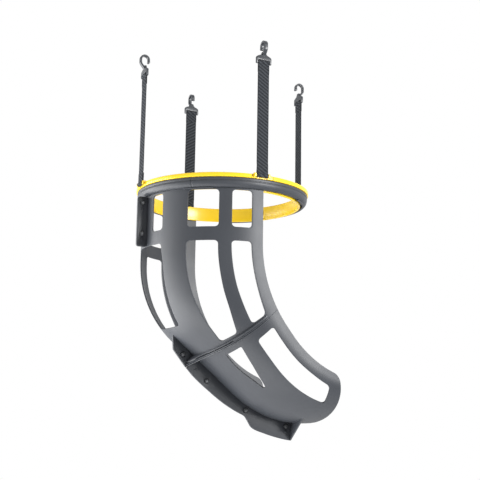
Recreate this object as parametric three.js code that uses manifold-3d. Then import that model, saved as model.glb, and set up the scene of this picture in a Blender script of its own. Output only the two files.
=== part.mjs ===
// A ball return that hangs under a hoop: four hooked straps carry a fixed ring, a second ring turns
// on it, and a half-pipe chute of four bolted panels hangs from the turning ring.
// Millimetres. +Z up, +X the way the chute sends the ball, +Y the far side of the chute.
// The origin is the centre of the hoop's rod circle, at the height of the hook seats.
import * as THREE from 'three';
import Module from 'manifold-3d';

const wasm = await Module();
wasm.setup();
const { Manifold, Mesh: SolidMesh } = wasm;

// The hoop that the hooks take
const rodCircleRadius = 236.6;
const rodRadius = 8;
// From the rod's centre down to the top of the fixed ring
const rimDrop = 338.5;

// Clearances
const runGap = 0.6;
const fitGap = 0.3;
const socketGap = 1.1;

// Fixed ring
const ringHeight = 35;
const ringWall = 3.2;
const flangeThickness = 10.2;
const flangeOverhang = 2.8;
const lipThickness = 3.2;
// How far the lip hangs below the turning ring
const lipDrop = 3.3;
const edgeRound = 1.4;
const edgeKneeShare = 0.3;
const notchOffsetDeg = 8.4;
const notchWidth = 3;
const notchDepth = 1.2;

// Strap bars on the fixed ring
const strapInset = 1.6;
const barOutset = 3;
const barRadius = 3;
const barDrop = 2.5;
const earSide = 6;
const earAbove = 2.5;
const earBelow = 8;

// Turning ring, in four quarters
const bandTaper = 9.7;
const bandFootWall = 3.4;
const bandGroove = 1.1;
const bandGrooveShare = 0.33;
const grooveFloorShare = 0.5;
const grooveLipShare = 0.2;
const bandKneeShare = 0.26;
const kneeInset = 1.76;
const footRiseShare = 0.4;
const skirtDrop = 0.2;
const seamGap = 0.8;
const tabReachDeg = 14;
const tabRootDeg = 6;
const tabThickness = 3;
const tabWidth = 5;
const tabInsetShare = 0.6;
const tabTaperShare = 0.5;

// Chute shell
const mouthStrip = 14.7;
// The angle that the flat strip at the mouth is given past the quarter turn
const stripDeg = 4;
const panelWall = 3.5;
const panelSocket = 7;
const dropLength = 140;

// Line of the spine below the drop
const spineStraight = 32;
const spineBendRadius = 266;
const spineBendDeg = 50;
const spineToJoint = 66;
const spineSlope = 142;
const spineRunoutRadius = 318;
const spineRunoutDeg = 43.2;

// Line of the mouth edge below the drop
const mouthBendRadius = 330;
const mouthBendDeg = 38.5;
const mouthToJointShare = 0.776;
const mouthSlope = 26.2;
const mouthRunoutRadius = 291;
const mouthRunoutDeg = 32.6;

// Windows: angles from the spine, in degrees, and shares of a stretch of the chute
const windowCorner = 9.5;
const windowRowShare = 0.16;
const outletCorner = 16;
const rowOneStartShare = 0.08;
const rowOneEndShare = 0.755;
const rowTwoEndShare = 0.945;
const spineWindowEndShare = 0.68;
const rowOneAngles = [[9.4, 20.8], [41.6, 63.2], [72, 85.8]];
const spineWindowAngles = [[-3, 20], [-3, 22.2], [-3, 21.4], [-3, 19.4], [-3, 17.2]];
const middleWindowAngles = [[41, 63], [41, 63.2], [40.6, 62.4], [39.6, 60], [37.6, 53.8]];
const outerWindowAngles = [[72, 85.8], [72.2, 85.9], [71.8, 85.8], [70.8, 85], [68.4, 83]];
const lowerMiddleShares = [0.06, 0.432];
const lowerMiddleAngles = [[33, 50.3], [33, 47.4], [35.5, 45], [37.9, 43.4]];
const lowerOuterShares = [0.092, 0.882];
const lowerOuterAngles = [[63.6, 83.2], [61.5, 82.2], [59.5, 81.7], [57.3, 80.9], [55, 78.2]];
// How far each section is drawn past the joint before the joint's plane trims it
const overrunShare = 0.06;
const normalStepShare = 0.01;
const normalStepDeg = 0.05;

// Bolted fins along the spine and the flange where the two chute sections meet
const seam = 0.3;
const finThickness = 3.2;
const finOverlapShare = 0.6;
const plateReach = 27;
const plateTop = 1.8;
const plateLength = 131;
const plateCorner = 6;
const upperFinLength = 85;
const upperFinKnee = 59;
const upperFinKneeReach = 26;
const finJointReach = 37;
const tailReach = 44.5;
// The lower fin's edge: share of the way along the trough, share of the tail's reach
const lowerFinReachShares = [
  [0, 0.831], [0.06, 0.885], [0.12, 0.9], [0.2, 0.88], [0.28, 0.848], [0.35, 0.795], [0.42, 0.705],
  [0.485, 0.625], [0.526, 0.58], [0.562, 0.73], [0.609, 0.97], [0.7, 0.98], [0.79, 1], [0.89, 1.04],
];
const gussetWidth = 96;
const gussetThickness = 3.4;
const gussetSkinShare = 0.85;
const flangeHeight = 9;
const sectionFlangeThickness = 3.2;
const flangeBlendDeg = 26;
const flangeFadeDeg = 68;
const flangeEndDeg = 84;
const flangeFloorShare = 0.08;
const flangeRootShare = 0.5;

// Hex bolts and nuts through the fins, each nut in a shallow pocket, and small locating pins beside them
const boltRadius = 3;
const hexRadius = 5.8;
const boltHeadHeight = 4;
const nutHeight = 5;
const boltProud = 2;
const pocketRadius = 7.4;
const pocketDepth = 1.2;
const pinRadius = 3.4;
const pinHeight = 1.6;
const plateBoltShares = [0.12, 0.75];
const platePinShares = [0.26, 0.87];
// On the fins: share of the fin's length away from the joint, share of its reach out from the skin
const upperFinBoltShares = [0.36, 0.47];
const upperFinPinShares = [0.15, 0.66];
const lowerFinBoltShares = [[0.168, 0.62], [0.515, 0.46], [0.84, 0.24]];
const lowerFinPinShares = [[0.056, 0.58], [0.842, 0.56]];

// Straps
const webbingWidth = 32;
const webbingThickness = 1.8;
const loopGap = 0.4;
const sewnLength = 26;
const sewnTaper = 5;
const sideGap = 0.6;

// Hooks
const hookThroat = 8.6;
const hookThickness = 5;
const hookWidth = 10;
const hookTipDrop = 6;
const hookNeckStraight = 8;
const hookShoulderDrop = 30;
const hookNeckDrop = 18;
const hookBaseWidth = 43;
const hookBaseThickness = 6;
const hookBarDrop = 44.5;
const hookArmEnd = 4;
const hookBeadShare = 0.62;

// Radii, each from the one outside it
const strapRadius = rodCircleRadius - strapInset;
const ringOuterRadius = strapRadius - barOutset;
const bandOuterRadius = ringOuterRadius - flangeOverhang;
const bandFootRadius = bandOuterRadius - bandTaper;
const chuteRadius = bandFootRadius - bandFootWall - socketGap;
const lipRadius = chuteRadius - panelWall - socketGap;
const ringInnerRadius = lipRadius - lipThickness - ringWall;

const ringTop = -rimDrop;
const deg = Math.PI / 180;

// How finely the round shapes are drawn
const ringSteps = 72;
const wedgeSteps = 6;
const barSides = 16;
const boltSides = 12;
const hexSides = 6;
const pinSides = 14;
const pocketSides = 18;
const cornerSteps = 4;
const outletSteps = 6;
const cutterSteps = 3;
const sheetSteps = 19;
const elbowSteps = 11;
const troughSteps = 15;
const flangeSteps = 26;
const loopSteps = 14;
const hookTipSteps = 3;
const hookArcSteps = 14;
const hookNeckSteps = 6;
const partColors = { yellow: '#f7c81c', slate: '#565b61', black: '#2b2e31', steel: '#8d9196' };

function solidOf(geometry) {
  const bare = geometry.index ? geometry.toNonIndexed() : geometry.clone();
  bare.deleteAttribute('normal');
  bare.deleteAttribute('uv');
  const positions = bare.attributes.position.array;
  const seen = new Map();
  const points = [];
  const faces = [];
  for (let corner = 0; corner < positions.length; corner += 3) {
    const key = [0, 1, 2].map((axis) => Math.round(positions[corner + axis] * 1e4)).join(' ');
    if (!seen.has(key)) {
      seen.set(key, points.length / 3);
      points.push(positions[corner], positions[corner + 1], positions[corner + 2]);
    }
    faces.push(seen.get(key));
  }
  const kept = [];
  for (let face = 0; face < faces.length; face += 3) {
    const [a, b, c] = faces.slice(face, face + 3);
    if (a !== b && b !== c && a !== c) kept.push(a, b, c);
  }
  return new Manifold(new SolidMesh({
    numProp: 3,
    vertProperties: new Float32Array(points),
    triVerts: new Uint32Array(kept),
  }));
}

function geometryOf(solid) {
  const mesh = solid.getMesh();
  const geometry = new THREE.BufferGeometry();
  const points = new Float32Array((mesh.vertProperties.length / mesh.numProp) * 3);
  for (let vertex = 0; vertex < points.length / 3; vertex += 1) {
    for (let axis = 0; axis < 3; axis += 1) {
      points[vertex * 3 + axis] = mesh.vertProperties[vertex * mesh.numProp + axis];
    }
  }
  geometry.setAttribute('position', new THREE.BufferAttribute(points, 3));
  geometry.setIndex(new THREE.BufferAttribute(new Uint32Array(mesh.triVerts), 1));
  return geometry;
}

function meshOf(name, solid, color) {
  const material = new THREE.MeshStandardMaterial({ color, roughness: 0.55, metalness: 0 });
  const mesh = new THREE.Mesh(geometryOf(solid), material);
  mesh.geometry.computeVertexNormals();
  mesh.name = name;
  return mesh;
}

function boxBetween(low, high) {
  const size = high.map((value, axis) => value - low[axis]);
  const box = new THREE.BoxGeometry(...size);
  box.translate(...low.map((value, axis) => value + size[axis] / 2));
  return solidOf(box);
}

function polygonShape(points) {
  const shape = new THREE.Shape();
  points.forEach(([x, y], index) => (index ? shape.lineTo(x, y) : shape.moveTo(x, y)));
  shape.closePath();
  return shape;
}

// A flat outline in the XZ plane, thick along Y from low to high
function plateInXZ(points, low, high) {
  const plate = new THREE.ExtrudeGeometry(polygonShape(points), { depth: high - low, bevelEnabled: false });
  plate.rotateX(Math.PI / 2);
  plate.translate(0, high, 0);
  return solidOf(plate);
}

function rodAlongY(radius, low, high, x, z, sides) {
  const rod = new THREE.CylinderGeometry(radius, radius, high - low, sides);
  rod.translate(x, (low + high) / 2, z);
  return solidOf(rod);
}

function turned(solid, angleDeg) {
  return solid.rotate([0, 0, angleDeg]);
}

// A closed ring from its cross-section, given as radius and height points
function lathed(profile) {
  const points = [...profile, profile[0]].map(([radius, height]) => new THREE.Vector2(radius, height));
  const ring = new THREE.LatheGeometry(points, ringSteps);
  ring.rotateX(Math.PI / 2);
  return solidOf(ring);
}

// A wedge of space about the Z axis between two angles
function wedge(fromDeg, toDeg, radius, low, high) {
  const points = [[0, 0]];
  for (let step = 0; step <= wedgeSteps; step += 1) {
    const angle = (fromDeg + ((toDeg - fromDeg) * step) / wedgeSteps) * deg;
    points.push([radius * Math.cos(angle), radius * Math.sin(angle)]);
  }
  const sector = new THREE.ExtrudeGeometry(polygonShape(points), { depth: high - low, bevelEnabled: false });
  sector.translate(0, 0, low);
  return solidOf(sector);
}

// Fixed ring: a spool with a top flange, a wall and a small foot lip, and one bar for each strap
const earOuter = strapRadius + barRadius + loopGap;
const loopRadius = barRadius + loopGap + webbingThickness;
const slotInner = strapRadius - loopRadius - runGap;
const slotHalf = webbingWidth / 2 + sideGap;

function fixedRing() {
  const top = ringTop;
  const under = ringTop - flangeThickness;
  const lipTop = ringTop - ringHeight + lipThickness;
  const foot = ringTop - ringHeight - lipDrop;
  const wallOut = ringInnerRadius + ringWall;
  const knee = edgeRound * edgeKneeShare;
  const profile = [
    [ringInnerRadius, foot + edgeRound], [ringInnerRadius, top - edgeRound],
    [ringInnerRadius + knee, top - knee], [ringInnerRadius + edgeRound, top],
    [ringOuterRadius - edgeRound, top], [ringOuterRadius - knee, top - knee],
    [ringOuterRadius, top - edgeRound], [ringOuterRadius, under + edgeRound],
    [ringOuterRadius - edgeRound, under], [wallOut, under], [wallOut, lipTop],
    [lipRadius, lipTop], [lipRadius, foot + knee],
    [lipRadius - knee, foot], [ringInnerRadius + edgeRound, foot],
  ];
  let ring = lathed(profile.reverse());
  const ears = [];
  const slots = [];
  const bars = [];
  const notches = [];
  for (let quarter = 0; quarter < 4; quarter += 1) {
    const angle = quarter * 90;
    const half = slotHalf + earSide;
    const ear = boxBetween([slotInner, -half, top - earBelow], [earOuter, half, top + earAbove]);
    const cut = boxBetween(
      [slotInner, -slotHalf, under - runGap],
      [earOuter + earSide, slotHalf, top + flangeThickness],
    );
    const barEnd = slotHalf + earSide / 2;
    const bar = rodAlongY(barRadius, -barEnd, barEnd, strapRadius, top - barDrop, barSides);
    ears.push(turned(ear, angle));
    slots.push(turned(cut, angle));
    bars.push(turned(bar, angle));
    const side = quarter % 2 ? 1 : -1;
    const notch = boxBetween(
      [ringOuterRadius - notchDepth, -notchWidth / 2, under - runGap],
      [ringOuterRadius + notchDepth, notchWidth / 2, top + runGap],
    );
    notches.push(turned(notch, angle + side * notchOffsetDeg));
  }
  ring = Manifold.union([ring, ...ears]);
  ring = Manifold.difference([ring, ...slots, ...notches]);
  return Manifold.union([ring, ...bars]);
}

// Turning ring: rides on the foot lip under the flange, with a groove from below for the panels
const bandTop = ringTop - flangeThickness - runGap;
const bandFoot = ringTop - ringHeight - skirtDrop;
const bandInner = ringInnerRadius + ringWall + runGap;
const panelInner = chuteRadius - panelWall;
const socketInner = panelInner - socketGap;
const socketOuter = chuteRadius + socketGap;
const panelTop = bandFoot + panelSocket;
const innerFoot = ringTop - ringHeight + lipThickness + runGap;

function turningRing() {
  const bandHeight = bandTop - bandFoot;
  const groove = bandTop - bandHeight * bandGrooveShare;
  const knee = bandFoot + bandHeight * bandKneeShare;
  const floor = bandGroove * grooveFloorShare;
  const profile = [
    [bandInner, innerFoot], [bandInner, bandTop], [bandOuterRadius - edgeRound, bandTop],
    [bandOuterRadius, bandTop - edgeRound], [bandOuterRadius, groove + bandGroove],
    [bandOuterRadius - bandGroove, groove + floor], [bandOuterRadius - bandGroove, groove - floor],
    [bandOuterRadius - bandGroove * grooveLipShare, groove - bandGroove],
    [bandOuterRadius - kneeInset, knee], [bandFootRadius + edgeRound, bandFoot + edgeRound * footRiseShare],
    [bandFootRadius, bandFoot], [socketOuter, bandFoot], [socketOuter, panelTop + fitGap],
    [socketInner, panelTop + fitGap], [socketInner, innerFoot],
  ];
  return lathed(profile.reverse());
}

function ringQuarter(ring, tabRing, startDeg) {
  const reach = rodCircleRadius;
  const endDeg = startDeg + 90;
  const inset = (seamGap / 2 / bandOuterRadius) / deg;
  const low = bandFoot - tabThickness * 2;
  const body = ring.intersect(wedge(startDeg + inset, endDeg - inset, reach, low, ringTop));
  const tabTop = bandFoot - fitGap;
  const arm = tabRing.intersect(wedge(endDeg - tabRootDeg, endDeg + tabReachDeg, reach, low, tabTop));
  const root = tabRing.intersect(wedge(endDeg - tabRootDeg, endDeg - inset, reach, low, ringTop));
  return Manifold.union([body, arm, root]);
}

function ringQuarters() {
  const ring = turningRing();
  const inner = bandFootRadius - tabWidth * tabInsetShare;
  const tabRing = lathed([
    [inner, bandFoot - fitGap - tabThickness], [inner + tabWidth, bandFoot - fitGap - tabThickness],
    [inner + tabWidth, bandFoot - fitGap], [inner + tabWidth * tabTaperShare, bandFoot + tabThickness],
    [inner, bandFoot + tabThickness],
  ]);
  return [45, 135, 225, 315].map((start) => ringQuarter(ring, tabRing, start));
}

// A line in the XZ plane made of straights and bends, walked by its length
function bentLine(startX, startZ, runs) {
  const lengths = runs.map((run) => (run.radius ? run.radius * run.bend * deg : run.length));
  const total = lengths.reduce((sum, length) => sum + length, 0);
  const at = (distance) => {
    let [x, z, heading, left] = [startX, startZ, 0, distance];
    runs.forEach((run, index) => {
      const last = index === runs.length - 1;
      const step = last ? left : Math.min(left, lengths[index]);
      if (run.radius) {
        const turn = step / run.radius;
        x += run.radius * (Math.cos(heading) - Math.cos(heading + turn));
        z -= run.radius * (Math.sin(heading + turn) - Math.sin(heading));
        heading += turn;
      } else {
        x += step * Math.sin(heading);
        z -= step * Math.cos(heading);
      }
      left -= step;
    });
    return { x, z, heading };
  };
  return { at, total };
}

const spineBend = spineBendRadius * spineBendDeg * deg;
const spineMarks = [0, dropLength, dropLength + spineStraight + spineBend + spineToJoint];
const spineLine = bentLine(-chuteRadius, panelTop, [
  { length: dropLength + spineStraight }, { radius: spineBendRadius, bend: spineBendDeg },
  { length: spineToJoint + spineSlope }, { radius: spineRunoutRadius, bend: spineRunoutDeg },
]);
const mouthLine = bentLine(mouthStrip, panelTop, [
  { length: dropLength }, { radius: mouthBendRadius, bend: mouthBendDeg },
  { length: mouthSlope }, { radius: mouthRunoutRadius, bend: mouthRunoutDeg },
]);
const mouthMarks = [0, dropLength, dropLength + mouthBendRadius * mouthBendDeg * deg * mouthToJointShare];
spineMarks.push(spineLine.total);
mouthMarks.push(mouthLine.total);

// The chute's section at a station: 0 to 1 is the drop, 1 to 2 the elbow, 2 to 3 the trough
function sectionAt(station) {
  const stretch = Math.min(Math.max(Math.floor(station), 0), 2);
  const share = station - stretch;
  const spine = spineLine.at(spineMarks[stretch] + share * (spineMarks[stretch + 1] - spineMarks[stretch]));
  const mouth = mouthLine.at(mouthMarks[stretch] + share * (mouthMarks[stretch + 1] - mouthMarks[stretch]));
  const across = new THREE.Vector2(mouth.x - spine.x, mouth.z - spine.z).normalize();
  return { spine, mouth, across };
}

// A point of the outer skin; the angle runs from the spine, and past 90 degrees along the flat strip
function skinPoint(station, angle) {
  const { spine, mouth, across } = sectionAt(station);
  const middle = { x: mouth.x - across.x * mouthStrip, z: mouth.z - across.y * mouthStrip };
  const turn = Math.min(Math.abs(angle), 90) * deg;
  const past = (Math.max(Math.abs(angle) - 90, 0) / stripDeg) * mouthStrip;
  return new THREE.Vector3(
    middle.x + (spine.x - middle.x) * Math.cos(turn) + across.x * past,
    Math.sign(angle) * chuteRadius * Math.sin(turn),
    middle.z + (spine.z - middle.z) * Math.cos(turn) + across.y * past,
  );
}

function skinNormal(station, angle) {
  const step = normalStepShare;
  const along = skinPoint(station + step, angle).sub(skinPoint(station - step, angle));
  const inside = Math.min(Math.abs(angle), 90 + stripDeg - 2 * normalStepDeg) * (angle < 0 ? -1 : 1);
  const around = skinPoint(station, inside + normalStepDeg).sub(skinPoint(station, inside - normalStepDeg));
  return around.cross(along).normalize();
}

function offsetPoint(station, angle, offset) {
  return skinPoint(station, angle).addScaledVector(skinNormal(station, angle), offset);
}

// A solid from points and faces, turned inside out if the faces came out looking inwards
function solidFrom(points, faces) {
  const geometry = new THREE.BufferGeometry();
  geometry.setAttribute('position', new THREE.BufferAttribute(new Float32Array(points), 3));
  geometry.setIndex(faces);
  const solid = solidOf(geometry);
  if (solid.volume() > 0) return solid;
  for (let face = 0; face < faces.length; face += 3) {
    [faces[face + 1], faces[face + 2]] = [faces[face + 2], faces[face + 1]];
  }
  geometry.setIndex(faces);
  return solidOf(geometry);
}

// A closed slab of the skin: rows of stations, each with its two end angles
function slab(rows, columns, innerOffset, outerOffset) {
  const grid = rows.map(({ station, from, to }) => {
    const row = [];
    for (let column = 0; column <= columns; column += 1) {
      const angle = from + ((to - from) * column) / columns;
      row.push([offsetPoint(station, angle, innerOffset), offsetPoint(station, angle, outerOffset)]);
    }
    return row;
  });
  const points = [];
  const index = (row, column, layer) => (row * (columns + 1) + column) * 2 + layer;
  grid.flat(2).forEach((point) => points.push(point.x, point.y, point.z));
  const faces = [];
  const quad = (a, b, c, d) => faces.push(a, b, c, a, c, d);
  const last = rows.length - 1;
  for (let row = 0; row < last; row += 1) {
    const next = row + 1;
    for (let column = 0; column < columns; column += 1) {
      const beside = column + 1;
      quad(index(row, column, 1), index(row, beside, 1), index(next, beside, 1), index(next, column, 1));
      quad(index(row, column, 0), index(next, column, 0), index(next, beside, 0), index(row, beside, 0));
    }
    quad(index(row, 0, 0), index(row, 0, 1), index(next, 0, 1), index(next, 0, 0));
    quad(index(row, columns, 1), index(row, columns, 0), index(next, columns, 0), index(next, columns, 1));
  }
  for (let column = 0; column < columns; column += 1) {
    const beside = column + 1;
    quad(index(0, column, 0), index(0, beside, 0), index(0, beside, 1), index(0, column, 1));
    quad(index(last, column, 1), index(last, beside, 1), index(last, beside, 0), index(last, column, 0));
  }
  return solidFrom(points, faces);
}

function between(table, share) {
  const place = Math.min(Math.max(share, 0), 1) * (table.length - 1);
  const low = Math.min(Math.floor(place), table.length - 2);
  return [0, 1].map((side) => table[low][side] + (table[low + 1][side] - table[low][side]) * (place - low));
}

// A cutter for one window, between two stations, with rounded corners
function windowCutter(from, to, angles, side) {
  const rows = [];
  const middle = (angles[0][0] + angles[0][1]) / 2;
  const lengthPerStation = skinPoint(from, middle).distanceTo(skinPoint(to, middle)) / (to - from);
  const corner = windowCorner / lengthPerStation;
  const addRow = (station, inset) => {
    const [inner, outer] = between(angles, (station - from) / (to - from));
    const width = skinPoint(station, inner).distanceTo(skinPoint(station, outer));
    const insetDeg = (inset / width) * (outer - inner);
    rows.push({ station, from: side * (inner + insetDeg), to: side * (outer - insetDeg) });
  };
  for (let step = 0; step <= cornerSteps; step += 1) {
    const turn = (step / cornerSteps) * 90 * deg;
    addRow(from + corner * (1 - Math.cos(turn)), windowCorner * (1 - Math.sin(turn)));
  }
  const middleRows = Math.max(2, Math.round((to - from) / windowRowShare));
  for (let step = 1; step < middleRows; step += 1) {
    addRow(from + corner + ((to - from - 2 * corner) * step) / middleRows, 0);
  }
  for (let step = cornerSteps; step >= 0; step -= 1) {
    const turn = (step / cornerSteps) * 90 * deg;
    addRow(to - corner * (1 - Math.cos(turn)), windowCorner * (1 - Math.sin(turn)));
  }
  return slab(rows, cutterSteps, -2 * panelWall, panelWall + flangeHeight);
}

// Takes the sharp corner off the outlet, where the mouth edge meets the end
function outletCutter(side) {
  const end = 3;
  const edge = 90 + stripDeg;
  const perStation = skinPoint(end - overrunShare, edge).distanceTo(skinPoint(end, edge)) / overrunShare;
  const rows = [];
  for (let step = 0; step <= outletSteps; step += 1) {
    const turn = (step / outletSteps) * 90 * deg;
    const station = end - (outletCorner * (1 - Math.sin(turn))) / perStation;
    const inset = ((outletCorner * (1 - Math.cos(turn))) / mouthStrip) * stripDeg;
    rows.push({ station, from: side * (edge - inset), to: side * (edge + stripDeg) });
  }
  rows.push({ station: end + overrunShare, from: rows[outletSteps].from, to: rows[outletSteps].to });
  return slab(rows, 1, -2 * panelWall, panelWall);
}

// Where the joint's flat plane lies and which way the ball goes through it
const joint = sectionAt(2);
const jointNormal = new THREE.Vector3(joint.across.y, 0, -joint.across.x);
const jointOffset = jointNormal.x * joint.spine.x + jointNormal.z * joint.spine.z;

function beforeJoint(solid) {
  return solid.trimByPlane([-jointNormal.x, 0, -jointNormal.z], -jointOffset + seam / 2);
}

function afterJoint(solid) {
  return solid.trimByPlane([jointNormal.x, 0, jointNormal.z], jointOffset + seam / 2);
}

function onSide(solid, side) {
  return solid.trimByPlane([0, side, 0], seam / 2);
}

// Height of the section flange above the skin: deep at the spine, low round the side, gone at the mouth
function flangeRise(angle) {
  const blend = Math.max(0, 1 - angle / flangeBlendDeg);
  const fade = Math.min(1, Math.max(0, (flangeEndDeg - angle) / (flangeEndDeg - flangeFadeDeg)));
  const kept = flangeFloorShare + (1 - flangeFloorShare) * Math.sqrt(fade);
  return (flangeHeight + (finJointReach - flangeHeight) * blend * blend) * kept;
}

// The raised flange at the end of a chute section, in the joint's plane
function sectionFlange(side, along) {
  const rings = [];
  for (let step = 0; step <= flangeSteps; step += 1) {
    const angle = (flangeEndDeg * step) / flangeSteps;
    const base = skinPoint(2, side * angle);
    const next = skinPoint(2, side * (angle + normalStepDeg));
    const ahead = next.sub(skinPoint(2, side * (angle - normalStepDeg))).normalize();
    const out = new THREE.Vector3().crossVectors(ahead, jointNormal).multiplyScalar(side).normalize();
    if (out.dot(new THREE.Vector3(joint.across.x, 0, joint.across.y)) > 0) out.negate();
    const near = base.clone().addScaledVector(out, -panelWall * flangeRootShare);
    const far = base.clone().addScaledVector(out, flangeRise(angle));
    const shift = jointNormal.clone().multiplyScalar(along * sectionFlangeThickness);
    rings.push([near, far, far.clone().add(shift), near.clone().add(shift)]);
  }
  const points = rings.flat().flatMap((point) => [point.x, point.y, point.z]);
  const faces = [];
  for (let ring = 0; ring < flangeSteps; ring += 1) {
    for (let corner = 0; corner < 4; corner += 1) {
      const a = ring * 4 + corner;
      const b = ring * 4 + ((corner + 1) % 4);
      faces.push(a, b, b + 4, a, b + 4, a + 4);
    }
  }
  const end = flangeSteps * 4;
  faces.push(0, 3, 2, 0, 2, 1, end, end + 1, end + 2, end, end + 2, end + 3);
  return solidFrom(points, faces);
}

// A point beside the spine: distance along it from the joint and reach out from it
function besideSpine(distance, reach) {
  const { x, z, heading } = spineLine.at(spineMarks[2] + distance);
  return [x - Math.cos(heading) * reach, z - Math.sin(heading) * reach];
}

const troughLength = spineMarks[3] - spineMarks[2];
const plateHigh = bandFoot - plateTop;
const plateLow = plateHigh - plateLength;

function finSolid(points, side) {
  const low = side > 0 ? seam / 2 : -seam / 2 - finThickness;
  return plateInXZ(points, low, low + finThickness);
}

function roundedRectangle(left, right, low, high, radius) {
  const points = [];
  [[right - radius, high - radius, 0], [left + radius, high - radius, 90],
    [left + radius, low + radius, 180], [right - radius, low + radius, 270]].forEach(([x, y, start]) => {
    for (let step = 0; step <= 3; step += 1) {
      const turn = (start + step * 30) * deg;
      points.push([x + radius * Math.cos(turn), y + radius * Math.sin(turn)]);
    }
  });
  return points;
}

const finOverlap = panelWall * finOverlapShare;

function topPlate(side) {
  const left = -chuteRadius - plateReach;
  return finSolid(roundedRectangle(left, -chuteRadius + finOverlap, plateLow, plateHigh, plateCorner), side);
}

function upperFin(side) {
  const corner = besideSpine(0, finJointReach);
  const points = [
    besideSpine(-upperFinLength, -finOverlap), besideSpine(-upperFinLength, 0),
    besideSpine(-upperFinKnee, upperFinKneeReach), corner, besideSpine(0, -finOverlap),
    besideSpine(-upperFinLength / 3, -finOverlap), besideSpine((-upperFinLength * 2) / 3, -finOverlap),
  ];
  return finSolid(points, side);
}

function lowerFinReachAt(share) {
  const next = Math.max(1, lowerFinReachShares.findIndex(([at]) => at >= share));
  const [[from, low], [to, high]] = lowerFinReachShares.slice(next - 1, next + 1);
  return tailReach * (low + ((high - low) * (share - from)) / (to - from));
}

function lowerFin(side) {
  const shares = lowerFinReachShares.map(([share]) => share);
  const outer = shares.map((share) => besideSpine(share * troughLength, lowerFinReachAt(share)));
  const inner = shares.map((share) => besideSpine(share * troughLength, -finOverlap));
  return finSolid([...outer, ...inner.reverse()], side);
}

// The three-cornered brace across the trough that closes the tail of the fin
function gusset(side) {
  const tailShare = lowerFinReachShares.at(-1)[0];
  const [tipX, tipZ] = besideSpine(tailShare * troughLength, lowerFinReachAt(tailShare));
  const [endX, endZ] = besideSpine(tailShare * troughLength, -finOverlap);
  const reachAngle = Math.asin(gussetWidth / chuteRadius) / deg;
  const far = offsetPoint(2 + gussetSkinShare, side * reachAngle, -finOverlap);
  const inY = side * seam;
  const corners = [
    [tipX, inY, tipZ], [tipX, inY + side * finThickness, tipZ], [endX, inY, endZ], [far.x, far.y, far.z],
  ];
  const shifted = corners.map(([x, y, z]) => [x - gussetThickness, y, z]);
  return Manifold.hull([...corners, ...shifted]);
}

// Bolt and pin places in the XZ plane
const plateMiddle = -chuteRadius - plateReach / 2;
const onPlate = (share) => [plateMiddle, plateHigh - plateLength * share];
const onUpperFin = ([share, reachShare]) => besideSpine(-share * upperFinLength, reachShare * finJointReach);
const onLowerFin = ([share, reachShare]) => (
  besideSpine(share * troughLength, reachShare * lowerFinReachAt(share)));
const boltPlaces = [
  ...plateBoltShares.map(onPlate), onUpperFin(upperFinBoltShares), ...lowerFinBoltShares.map(onLowerFin),
];
const upperPins = [...platePinShares.map(onPlate), onUpperFin(upperFinPinShares)];
const lowerPins = lowerFinPinShares.map(onLowerFin);
const finFace = seam / 2 + finThickness;
const seatFace = finFace - pocketDepth;

function boltCuts() {
  const past = finFace * 2;
  return boltPlaces.flatMap(([x, z]) => [
    rodAlongY(boltRadius + fitGap, -past, past, x, z, boltSides),
    rodAlongY(pocketRadius, seatFace, past, x, z, pocketSides),
    rodAlongY(pocketRadius, -past, -seatFace, x, z, pocketSides),
  ]);
}

function locatingPins(places, side) {
  const [low, high] = side > 0 ? [seatFace, finFace + pinHeight] : [-finFace - pinHeight, -seatFace];
  return places.map(([x, z]) => rodAlongY(pinRadius, low, high, x, z, pinSides));
}

function sheetRows(from, to, count) {
  return Array.from({ length: count + 1 }, (_, row) => from + ((to - from) * row) / count);
}

function upperPanel(side) {
  const stations = [0, ...sheetRows(1, 2 + overrunShare, elbowSteps)];
  const rows = stations.map((station) => ({ station, from: 0, to: side * (90 + stripDeg) }));
  const shell = slab(rows, sheetSteps, -panelWall, 0);
  const cutters = [
    ...rowOneAngles.map((angles) => windowCutter(rowOneStartShare, rowOneEndShare, [angles, angles], side)),
    windowCutter(1, 1 + spineWindowEndShare, spineWindowAngles, side),
    windowCutter(1, 1 + rowTwoEndShare, middleWindowAngles, side),
    windowCutter(1, 1 + rowTwoEndShare, outerWindowAngles, side),
  ];
  const cut = Manifold.difference([shell, ...cutters]);
  const fins = [topPlate(side), upperFin(side), ...locatingPins(upperPins, side)];
  const joined = Manifold.union([cut, ...fins, sectionFlange(side, -1)]);
  return Manifold.difference([beforeJoint(onSide(joined, side)), ...boltCuts()]);
}

function lowerPanel(side) {
  const stations = sheetRows(2 - overrunShare, 3, troughSteps);
  const rows = stations.map((station) => ({ station, from: 0, to: side * (90 + stripDeg) }));
  const shell = slab(rows, sheetSteps, -panelWall, 0);
  const cutters = [
    windowCutter(2 + lowerMiddleShares[0], 2 + lowerMiddleShares[1], lowerMiddleAngles, side),
    windowCutter(2 + lowerOuterShares[0], 2 + lowerOuterShares[1], lowerOuterAngles, side),
    outletCutter(side),
  ];
  const cut = Manifold.difference([shell, ...cutters]);
  const fins = [lowerFin(side), gusset(side), ...locatingPins(lowerPins, side)];
  const joined = Manifold.union([cut, ...fins, sectionFlange(side, 1)]);
  return Manifold.difference([afterJoint(onSide(joined, side)), ...boltCuts()]);
}

// Fasteners: bolt heads on the far fin, nuts on the near one
const headSeat = seatFace + fitGap;

function spineBolt([x, z]) {
  const end = -headSeat - nutHeight - boltProud;
  const shank = rodAlongY(boltRadius, end, headSeat + boltHeadHeight / 2, x, z, boltSides);
  return shank.add(rodAlongY(hexRadius, headSeat, headSeat + boltHeadHeight, x, z, hexSides));
}

function spineNut([x, z]) {
  const nut = rodAlongY(hexRadius, -headSeat - nutHeight, -headSeat, x, z, hexSides);
  return nut.subtract(rodAlongY(boltRadius + fitGap, -headSeat - nutHeight * 2, 0, x, z, boltSides));
}

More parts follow.
